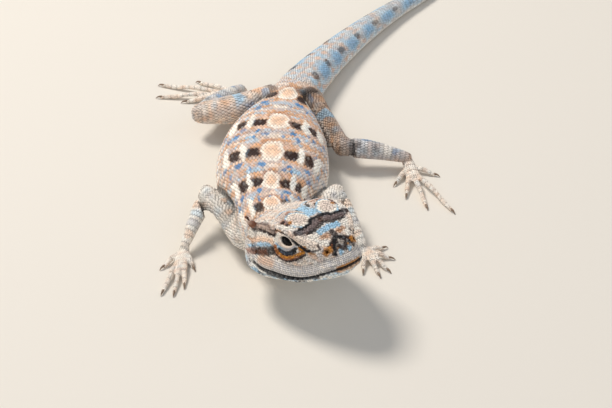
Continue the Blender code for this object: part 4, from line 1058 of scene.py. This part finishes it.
def keeledScale():
    # one overlapping scale, 1 wide: pointed to +Y, with a keel down its middle
    bm = bmesh.new()
    turn = Matrix.Rotation(math.radians(-90), 4, "X") @ Matrix.Rotation(math.radians(30), 4, "Z")
    bmesh.ops.create_uvsphere(bm, u_segments=6, v_segments=4, radius=1.0, matrix=turn)
    for vert in bm.verts:
        x, y, z = vert.co
        taper = 1.0 - 0.42 * max(y, 0.0)
        keel = 1.35 if abs(x) < 0.05 and z > 0.05 else 0.9
        vert.co = (0.52 * x * taper, 0.5 * y + 0.12 * max(y, 0.0), (z * keel if z > 0 else z) + 0.35 * max(y, 0.0))
    return bm


def domedScale():
    # one low rounded plate, 1 wide and round before it is stretched to its place
    bm = bmesh.new()
    bmesh.ops.create_uvsphere(bm, u_segments=8, v_segments=4, radius=1.0)
    for vert in bm.verts:
        x, y, z = vert.co
        flat = max(abs(x), abs(y)) and (x * x + y * y) ** -0.12
        vert.co = (0.5 * x * flat, 0.5 * y * flat, z)
    return bm


def templateArrays(bm):
    bmesh.ops.triangulate(bm, faces=bm.faces)
    bmesh.ops.recalc_face_normals(bm, faces=bm.faces)
    bm.verts.ensure_lookup_table()
    points = np.array([vert.co for vert in bm.verts], float)
    corners = np.array([[vert.index for vert in face.verts] for face in bm.faces], int)
    bm.free()
    return points, corners


def joinedCopies(name, template, roots):
    # one mesh of closed copies of a template, each placed by its root's axes and sizes
    points, corners = template
    count, each = len(roots["at"]), len(points)
    size = roots["size"][:, None, :] * points[None]
    spots = (roots["at"][:, None] + size[..., 0:1] * roots["across"][:, None] + size[..., 1:2] * roots["lie"][:, None]
             + size[..., 2:3] * roots["out"][:, None])
    spots[..., 2] = np.maximum(spots[..., 2], 0.0)
    faces = (corners[None] + each * np.arange(count)[:, None, None]).reshape(-1, 3)
    mesh = bpy.data.meshes.new(name)
    mesh.vertices.add(count * each)
    mesh.vertices.foreach_set("co", spots.astype(np.float32).ravel())
    mesh.loops.add(faces.size)
    mesh.loops.foreach_set("vertex_index", faces.astype(np.int32).ravel())
    mesh.polygons.add(len(faces))
    mesh.polygons.foreach_set("loop_start", np.arange(0, faces.size, 3, dtype=np.int32))
    mesh.update(calc_edges=True)
    sampled = roots["at"][:, None] + 0.45 * (spots - roots["at"][:, None])
    inks = inksAt(sampled.reshape(-1, 3), stems)
    rng = np.random.default_rng(count)
    for ink in ("cream", "lilac", "umber"):
        cover(inks, ink, np.repeat(np.clip(rng.normal(-0.06, 0.09, count), 0.0, 0.3), each))
    # the height of each point of a scale, which the material turns into a painted highlight on the keel and painted
    # shade at the root
    keelLightAndRootShade = np.clip(points[:, 2] / max(points[:, 2].max(), 1e-6), 0.0, 1.0) ** 0.6
    # each scale's share of the painted shade in the folds
    shade = np.repeat(foldDepths(roots["at"], stems)[1], each)
    writeInks(mesh, inks, np.column_stack((np.repeat(roots["tone"], each), np.tile(keelLightAndRootShade, count), shade)))
    # the unwrap opens each stem along its underside, and each scale is a small patch there
    patch = 0.003
    places = unwrapPlace(roots["at"])
    corner = places[:, None] + patch * points[None, :, :2]
    layer = mesh.uv_layers.new(name="OFBake")
    layer.uv.foreach_set("vector", corner.reshape(-1, 2)[faces.ravel()].astype(np.float32).ravel())
    made = newObject(name, mesh)
    print(name, count, "scales", len(faces), "triangles")
    return made


def unwrapPlace(points):
    # a place on the skin as distance along its nearest stem and angle round it, one strip for each stem
    near = [locate(stem, points) for stem in stems]
    which = np.argmin([found[2] for found in near], axis=0)
    lengths = np.array([stem["at"][-1] - stem["at"][0] for stem in stems])
    widths = np.array([float(np.max(stem["width"])) for stem in stems])
    tops = np.concatenate(([0.0], np.cumsum(widths))) / widths.sum()
    out = np.zeros((len(points), 2))
    for k, stem in enumerate(stems):
        use = which == k
        share = np.clip((near[k][0][use] - stem["at"][0]) / lengths[k], 0.0, 1.0)
        turn = np.clip((near[k][1][use] + 180.0) / 360.0, 0.0, 1.0)
        out[use, 0] = 0.01 + 0.98 * share
        out[use, 1] = tops[k] + (tops[k + 1] - tops[k]) * (0.04 + 0.92 * turn)
    return out


def stackRoots(batches):
    return {key: np.concatenate([batch[key] for batch in batches]) for key in rootKeys}


def treeOf(spots):
    tree = KDTree(len(spots))
    for k, spot in enumerate(spots):
        tree.insert(spot, k)
    tree.balance()
    return tree


def distanceAlong(spots):
    return np.concatenate(([0.0], np.cumsum(np.linalg.norm(np.diff(spots, axis=0), axis=1))))


def stemRows(tree, stem, spacingAt, stepShare, start, end, reach=1.35):
    # rows of scales round a stem, each a half scale out of step with the last, from the back round to the belly
    found = {key: [] for key in rootKeys}
    at, odd = start, 0
    rays, farthest = 36, 0.3  # rays for half a turn, and how far off the skin a guess may lie
    while at < end:
        i = int(np.clip(np.searchsorted(stem["at"], at), 0, len(stem["at"]) - 1))
        middle, tangent, side, up = (stem[key][i] for key in ("middle", "tangent", "side", "up"))
        spacing = spacingAt(at, i)
        for sign in (1.0, -1.0):
            spots = []
            for k in range(rays + 1):
                turn = math.pi * k / rays
                way = side * math.sin(turn) * sign + up * math.cos(turn)
                height = stem["rise"][i] if math.cos(turn) > 0 else stem["drop"][i]
                limit = reach * max(stem["width"][i], height)
                hit = tree.ray_cast(Vector(middle), Vector(way), limit + 0.4)[0]
                radius = 1.0 / math.hypot(math.sin(turn) / stem["width"][i], math.cos(turn) / height)
                spots.append(np.array(hit) if hit else middle + way * radius)
            spots = np.array(spots)
            run = distanceAlong(spots)
            shift = 0.5 if odd else (0.0 if sign > 0 else 1.0)
            for place in np.arange(shift * spacing, run[-1], spacing):
                guess = np.array([np.interp(place, run, spots[:, c]) for c in range(3)])
                spot, normal, _, gap = tree.find_nearest(Vector(guess))
                if gap > farthest:
                    continue
                for key, value in zip(rootKeys, (spot, normal, tangent, spacing, spacing * stepShare)):
                    found[key].append(value)
        at += spacing * stepShare
        odd = 1 - odd
    return {key: np.array(value, float) for key, value in found.items()}


def spare(roots, placed, share=0.62):
    # leaves out roots that would sit on scales placed before
    if not placed or not len(roots["at"]):
        return roots
    tree = treeOf(np.concatenate([batch["at"] for batch in placed]))
    widths = np.concatenate([batch["width"] for batch in placed])
    keep = []
    for k, spot in enumerate(roots["at"]):
        _, other, gap = tree.find(spot)
        if gap > share * 0.5 * (roots["width"][k] + widths[other]):
            keep.append(k)
    return {key: value[keep] for key, value in roots.items()}


def lineRoots(line, length, width):
    # roots one after another along a line that lies on the skin, as (place, direction out of the skin)
    spots = np.array([spot for spot, _ in line])
    outs = np.array([out for _, out in line])
    run = distanceAlong(spots)
    wanted = np.arange(0.3 * length, run[-1], length)
    at = np.column_stack([np.interp(wanted, run, spots[:, c]) for c in range(3)])
    ahead = np.column_stack([np.interp(wanted + 0.05, run, spots[:, c]) - np.interp(wanted - 0.05, run, spots[:, c])
                             for c in range(3)])
    out = np.column_stack([np.interp(wanted, run, outs[:, c]) for c in range(3)])
    return {"at": at, "out": out, "lie": -ahead, "width": np.full(len(at), width), "row": np.full(len(at), length)}


def headLines(tree):
    # the rows along the lips, the brows, the lids and the nostrils
    batches = []
    origin = headPoint(0, 0, 0)

    def shoot(f, r, u, way):
        hit = tree.ray_cast(headPoint(f, r, u), headPoint(*way) - origin, 14.0)
        return hit[:2] if hit[0] else None

    for rise, length, height in lipRows:
        line = []
        for turn in np.linspace(-118.0, 118.0, 260):
            way = (math.cos(math.radians(turn)), math.sin(math.radians(turn)), 0.0)
            f = 10.0
            found = None
            for _ in range(4):
                u = float(along(head["mouth"], f)[0, 0]) + rise
                found = shoot(9.0, 0.0, u, way)
                if not found:
                    break
                f = float(headLocal([found[0]])[0, 0])
            if found and f > 3.2:
                line.append(found)
        batches.append(lineRoots(line, length, height))
    for sign in (1, -1):
        for length, width, points in headRows:
            keys = withDistance(points)
            dense = along(keys, np.linspace(0.0, keys[-1, 0], 60))
            line = []
            for f, r, u in dense:
                spot, normal, _, gap = tree.find_nearest(headPoint(f, sign * r, u))
                if gap < 0.9:
                    line.append((spot, normal))
            batches.append(lineRoots(line, length, width))
        pose = Matrix.Translation(eyeMiddle(sign)) @ eyeTurn(sign)
        out = (eyeTurn(sign) @ Vector((0, 0, 1))).normalized()
        for away, length in lidRows:
            ring = almond(sign, away, 6.0, 160)
            under = [point for point in ring[40:] + ring[:40] if point.y * sign < 0.30]
            hits = [tree.ray_cast(pose @ point, -out, 6.0) for point in under]
            batches.append(lineRoots([hit[:2] for hit in hits if hit[0]], length, length))
    return batches


def spinyRoots(tree):
    found = {key: [] for key in rootKeys}
    for sign in (1, -1):
        for f, r, u, width, length, _ in spinyScales:
            spot, normal, _, _ = tree.find_nearest(headPoint(f, sign * r, u))
            back = headPoint(-0.75, 0.25 * sign, 0.25) - headPoint(0, 0, 0)
            small = 1.0 if sign > 0 or width < 1.0 else 0.4  # the long spine is a short one on the left
            for key, value in zip(rootKeys, (spot, normal, back, small * width, small * length)):
                found[key].append(value)
    return {key: np.array(value, float) for key, value in found.items()}


def fitPlates(roots, fixed):
    # stretches and turns each plate to fill the room between its neighbours
    spots = np.concatenate([roots["at"], *[batch["at"] for batch in fixed]])
    tree = treeOf(spots)
    near = np.array([[spots[k] for _, k, _ in tree.find_n(spot, 7)[1:]] for spot in roots["at"]])
    offset = near - roots["at"][:, None]
    flat = np.stack(((offset * roots["across"][:, None]).sum(2), (offset * roots["lie"][:, None]).sum(2)), axis=2)
    spread, turn = np.linalg.eigh(np.einsum("nki,nkj->nij", flat, flat) / flat.shape[1])
    mean = np.sqrt(2 * spread.mean(1))
    short = np.clip(np.sqrt(2 * spread[:, 0]), 0.78 * mean, mean)
    long = np.clip(np.sqrt(2 * spread[:, 1]), mean, 1.28 * mean)
    across, lie = roots["across"].copy(), roots["lie"].copy()
    roots["across"] = unit(across * turn[:, 0, 0, None] + lie * turn[:, 1, 0, None])
    roots["lie"] = unit(across * turn[:, 0, 1, None] + lie * turn[:, 1, 1, None])
    limit = 1.5 * roots["width"]
    roots["size"] = np.column_stack((np.minimum(short, limit), np.minimum(long, limit),
                                     plateScales["rise"] * np.minimum(short, limit)))
    return roots


def seeds(spots, normals, spacing, placed, rng):
    # evenly scattered roots on bare skin
    order = rng.permutation(len(spots))
    cells = {}
    size = float(np.max(spacing))
    around = [(dx, dy, dz) for dx in (-1, 0, 1) for dy in (-1, 0, 1) for dz in (-1, 0, 1)]

    def cell(p):
        return tuple((p // size).astype(int))

    def crowded(spot, own, home):
        for dx, dy, dz in around:
            for other, width in cells.get((home[0] + dx, home[1] + dy, home[2] + dz), ()):
                gap = spot - other
                if gap @ gap < (0.42 * (own + width)) ** 2:
                    return True
        return False

    taken = []
    for batch in placed:
        for spot, width in zip(batch["at"], batch["width"]):
            cells.setdefault(cell(spot), []).append((spot, width))
    for k in order:
        spot, own = spots[k], spacing[k]
        home = cell(spot)
        if not crowded(spot, own, home):
            cells.setdefault(home, []).append((spot, own))
            taken.append(k)
    return {"at": spots[taken], "out": normals[taken], "width": spacing[taken]}


def orient(roots, rng, tilt, turnSpread):
    # across, lie and out for each root, the lie laid in the skin and the tip lifted by the tilt
    out, lie = unit(roots["out"]), roots["lie"]
    lie = unit(lie - out * (lie * out).sum(1)[:, None])
    across = np.cross(lie, out)
    spin = np.radians(rng.normal(0.0, turnSpread, len(out)))[:, None]
    lie, across = lie * np.cos(spin) + across * np.sin(spin), across * np.cos(spin) - lie * np.sin(spin)
    lift = np.radians(tilt)
    roots["lie"] = lie * np.cos(lift) + out * np.sin(lift)
    roots["out"] = out * np.cos(lift) - lie * np.sin(lift)
    roots["across"] = across
    roots["tone"] = rng.uniform(0.0, 1.0, len(out))
    return roots


def liesAt(points):
    # which way scales point: to the tail on the trunk, to the neck on the head, to the digits on the limbs
    near = [locate(stem, points) for stem in stems]
    least = np.min([found[2] for found in near], axis=0)
    lies = np.zeros((len(points), 3))
    for stem, (at, _, far) in zip(stems, near):
        i = np.clip(np.searchsorted(stem["at"], at), 0, len(stem["at"]) - 1)
        lies += np.exp(-9.0 * (far - least))[:, None] * stem["tangent"][i] * (-1.0 if stem["name"] == "head" else 1.0)
    return unit(lies)


def vertexValues(mesh, kind):
    values = np.empty(len(mesh.vertices) * 3)
    mesh.vertices.foreach_get(kind, values)
    return values.reshape(-1, 3)


def rimOffset(slit, half):
    # how far places lie from the middle of the slit's rim, in half sizes of it
    return np.abs(slit[:, :2] - np.array(eyes["rimMiddle"])) / np.array(half)


def buildScales(skin):
    rng = np.random.default_rng(7)
    bm = opened(skin.data)
    bm.normal_update()
    tree = BVHTree.FromBMesh(bm)
    bm.free()
    body = stems[0]
    widest = float(body["width"].max())

    def bodySpacing(at, i):
        wide = body["width"][i] / widest
        if at < bodyScales["tail"][0]:
            return bodyScales["spacing"] * max(0.5, wide**0.35)
        return bodyScales["tailSpacing"] * max(0.40, wide**0.45)

    torso = stemRows(tree, body, bodySpacing, bodyScales["rowShare"], *bodyScales["torso"])
    tail = stemRows(tree, body, bodySpacing, bodyScales["tailRowShare"], *bodyScales["tail"])
    placed, arms, legs = [torso, tail], [], []
    for stem in stems[2:]:
        beyond, reach = (0.4, 1.7) if "digit" in stem["name"] else (0.2, 1.3)

        def spacing(at, i):
            share = (stem["width"][i] / limbScales["fullRadius"]) ** 0.45
            return max(limbScales["smallest"], limbScales["spacing"] * share)

        rows = stemRows(tree, stem, spacing, limbScales["rowShare"], 0.0, stem["at"][-1] + beyond, reach)
        rows = spare(rows, placed)
        placed.append(rows)
        (arms if "arm" in stem["name"] or "hand" in stem["name"] else legs).append(rows)
    lines = []
    for rows in headLines(tree):
        rows = spare(rows, placed, 0.7)
        placed.append(rows)
        lines.append(rows)
    print("scales in rows laid", sum(len(batch["at"]) for batch in placed))
    # bare skin between the rows, and the rest of the head
    verts, normals = vertexValues(skin.data, "co"), vertexValues(skin.data, "normal")
    which = np.argmin([locate(stem, verts)[2] for stem in stems], axis=0)
    onHead = which == 1
    spacing = np.where(which >= 2, limbScales["fill"], bodyScales["fill"])
    rest = ~onHead & (verts[:, 2] > 0.1)
    fill = seeds(verts[rest], normals[rest], spacing[rest], placed, rng)
    fill["row"] = fill["width"] * 0.86
    fill["lie"] = liesAt(fill["at"])
    placed.append(fill)
    local = headLocal(verts)
    side = np.abs(local[:, 1])
    rise = local[:, 2] - along(head["mouth"], local[:, 0])[:, 0]
    fromEye = np.minimum(*[np.linalg.norm(verts - np.array(eyeMiddle(sign)), axis=1) for sign in (1, -1)])
    size = np.full(len(verts), plateScales["crown"])
    size = np.where(np.hypot(local[:, 0] - 9.8, side - 4.2) < 3.2, plateScales["dome"], size)
    size = np.where(local[:, 0] > 15.5, plateScales["snout"], size)
    size = np.where((rise > 0) & (local[:, 2] < 6.2) & (side > 4.5), plateScales["cheek"], size)
    size = np.where(rise < -1.5, plateScales["throat"], size)
    size = np.where((fromEye < 4.1) & (local[:, 2] < 9.2), plateScales["lids"], size)
    slit = eyeLocal(verts)
    bare = ((rimOffset(slit, eyes["bareRim"]) ** 2.2).sum(1) < 1.0) & (slit[:, 2] > 0.0)
    keep = onHead & (fromEye > eyes["radius"] + 0.1) & ~bare
    plates = seeds(verts[keep], normals[keep], size[keep], placed, rng)
    plates["lie"] = liesAt(plates["at"])
    plates["row"] = plates["width"]
    keeled, domed, spine = [templateArrays(made) for made in (keeledScale(), domedScale(), spineScale())]
    groups = {"torsoScales": [torso, fill], "tailScales": [tail], "armScales": arms, "legScales": legs,
              "lipScales": lines, "headScales": [plates], "napeSpines": [spinyRoots(tree)]}
    pieces = []
    for name, batches in groups.items():
        roots = stackRoots(batches)
        pinch = foldDepths(roots["at"], stems)[2]
        kept = pinch < 0.7  # the tightest folds have no scales
        roots = {key: value[kept] for key, value in roots.items()}
        pinch = pinch[kept]
        isHead, isSpine = name in ("headScales", "lipScales"), name == "napeSpines"
        template = domed if isHead else spine if isSpine else keeled
        isLimb = name in ("armScales", "legScales")
        lift = np.array([0.0 if isHead else limbScales["tilt"] if isLimb else bodyScales["tilt"]])
        if isSpine:
            lift = np.array([row[5] for row in spinyScales] * 2, float)[kept]
        roots = orient(roots, rng, lift[:, None], 2.0 if isHead else 4.0)
        grow = rng.uniform(0.93, 1.08, len(roots["at"])) * (1.0 - 0.45 * pinch)
        wide = roots["width"] * grow
        if name == "headScales":
            roots = fitPlates(roots, lines)
            roots["size"] *= 1.03 * grow[:, None]
        elif isHead:
            small = np.minimum(roots["width"], roots["row"])
            roots["size"] = np.column_stack((wide * 1.08, roots["row"] * 1.08 * grow, plateScales["rise"] * small))
        elif isSpine:
            roots["size"] = np.column_stack((wide, roots["row"] * grow, 0.8 * wide))
        else:
            long = roots["row"] * bodyScales["overlap"] * grow
            roots["size"] = np.column_stack((wide * 1.08, long, bodyScales["rise"] * wide))
        parts = math.ceil(len(wide) * len(template[1]) / mostTriangles)
        order = np.argsort(roots["at"][:, 1], kind="stable")
        for k, share in enumerate(np.array_split(order, parts)):
            label = name if parts == 1 else f"{name}{k + 1}"
            pieces.append(joinedCopies(label, template, {key: value[share] for key, value in roots.items()}))
    return pieces


eyeFinish = {  # stops from the middle of the pupil outwards, as shares of half a turn
    "pupil": (0.232, "#030202"), "outer": (0.72, "#1A0F08"),
    "ring": ((0.240, "#8C6B34"), (0.250, "#D9B866"), (0.267, "#6A4820"), (0.31, "#23150C")),
    "shader": {"Roughness": 0.16, "Specular IOR Level": 0.12, "Coat Weight": 0.12, "Coat Roughness": 0.04},
}


def buildEyes():
    # a wet dark eye: a black pupil in a thin gold ring, under a clear cornea
    made, tree, shader = newMaterial("wet dark eye")
    gaze = addNode(tree, "Attribute", {"attribute_name": "gaze"})
    ramp = addNode(tree, "ValToRGB", links={"Fac": gaze.outputs["Fac"]})
    stops = ramp.color_ramp.elements
    for stop, key in zip(list(stops), ("pupil", "outer")):
        stop.position, stop.color = eyeFinish[key][0], linear(eyeFinish[key][1])
    for spot, code in eyeFinish["ring"]:
        stops.new(spot).color = linear(code)
    tree.links.new(ramp.outputs["Color"], shader.inputs["Base Color"])
    setInputs(shader, eyeFinish["shader"])
    pieces = []
    for side, sign in (("Right", 1), ("Left", -1)):
        bm = bmesh.new()
        bmesh.ops.create_uvsphere(bm, u_segments=48, v_segments=32, radius=eyes["radius"])
        angles = [vert.co.angle(Vector((0.02, -0.05 * sign, 1.0))) / math.pi for vert in bm.verts]
        slip = Matrix.Translation((eyes["shift"][0], sign * eyes["shift"][1], 0.0))
        bmesh.ops.transform(bm, matrix=Matrix.Translation(eyeMiddle(sign)) @ eyeTurn(sign) @ slip, verts=bm.verts)
        eye = meshObject("eye" + side, bm)
        attribute = eye.data.attributes.new("gaze", "FLOAT", "POINT")
        attribute.data.foreach_set("value", angles)
        eye.data.materials.append(made)
        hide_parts("eye_" + side.lower())
        pieces.append(eye)
    return pieces


claws = {  # bend is ahead of the digit's end and above it, then radii from root to tip
    "bend": ((-0.3, 0.06), (0.35, 0.2), (0.9, 0.1), (digits["clawLength"], -0.3)), "radii": (0.24, 0.25, 0.16, 0.05),
    "dark": "#5C4636", "light": "#A08770", "roughness": 0.3, "streakMm": 0.4,
}


def buildClaws():
    # dark horn: smooth, with fine paler streaks and a soft shine
    made, tree, shader = newMaterial("dark horn claw")
    coords = addNode(tree, "TexCoord")
    streak = addNode(tree, "TexNoise", values={"Scale": 1000.0 / claws["streakMm"], "Detail": 2.0},
                     links={"Vector": coords.outputs["Object"]})
    ramp = addNode(tree, "ValToRGB", links={"Fac": streak.outputs[0]})
    for stop, key in zip(ramp.color_ramp.elements, ("dark", "light")):
        stop.color = linear(claws[key])
    tree.links.new(ramp.outputs["Color"], shader.inputs["Base Color"])
    setInputs(shader, {"Roughness": claws["roughness"]})
    pieces = []
    for name in feet:
        whole = bmesh.new()
        for line in footLines(name)[-1]:
            end, aim = line[-1], line[-1] - line[-2]
            aim.z = 0.0
            aim.normalize()
            bend = [end + aim * ahead + Vector((0, 0, up)) for ahead, up in claws["bend"]]
            claw = stemSolid(roundStem("claw", bend, claws["radii"], 0.15), 0.2, 10, 0.0, (0.9,))
            whole.from_mesh(claw.data)
            bpy.data.objects.remove(claw)
        for vert in whole.verts:
            vert.co.z = max(vert.co.z, 0.0)
        piece = meshObject(name.replace("_r", "R").replace("_l", "L") + "Claws", whole)
        piece.data.materials.append(made)
        pieces.append(piece)
    return pieces


buildStudio()
stems = buildStems()
skin, flesh = buildSkin(stems)
scalePieces = buildScales(skin)
scaly = scalySkin()
spots = vertexValues(skin.data, "co")
slit = eyeLocal(spots)
# the bare skin between the scales is painted darker as shade, except on the lids' pale rims; the third share is the
# folds' painted shade
paleRim = step(np.hypot(*rimOffset(slit, eyes["paleRim"]).T), 1.0, 0.1) * (slit[:, 2] > 1.5)
tone = np.column_stack((np.full(len(spots), 0.5), 0.7 * paleRim, foldDepths(spots, stems)[1]))
writeInks(skin.data, inksAt(spots, stems), tone)
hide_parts(*flesh)
for piece in [skin, *scalePieces]:
    piece.data.materials.clear()
    piece.data.materials.append(scaly)
for piece in [skin, *scalePieces, *buildEyes(), *buildClaws()]:
    piece.data.transform(toRow)
    piece.data.shade_smooth()
    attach(piece, "root")
    print(piece.name, "finished")
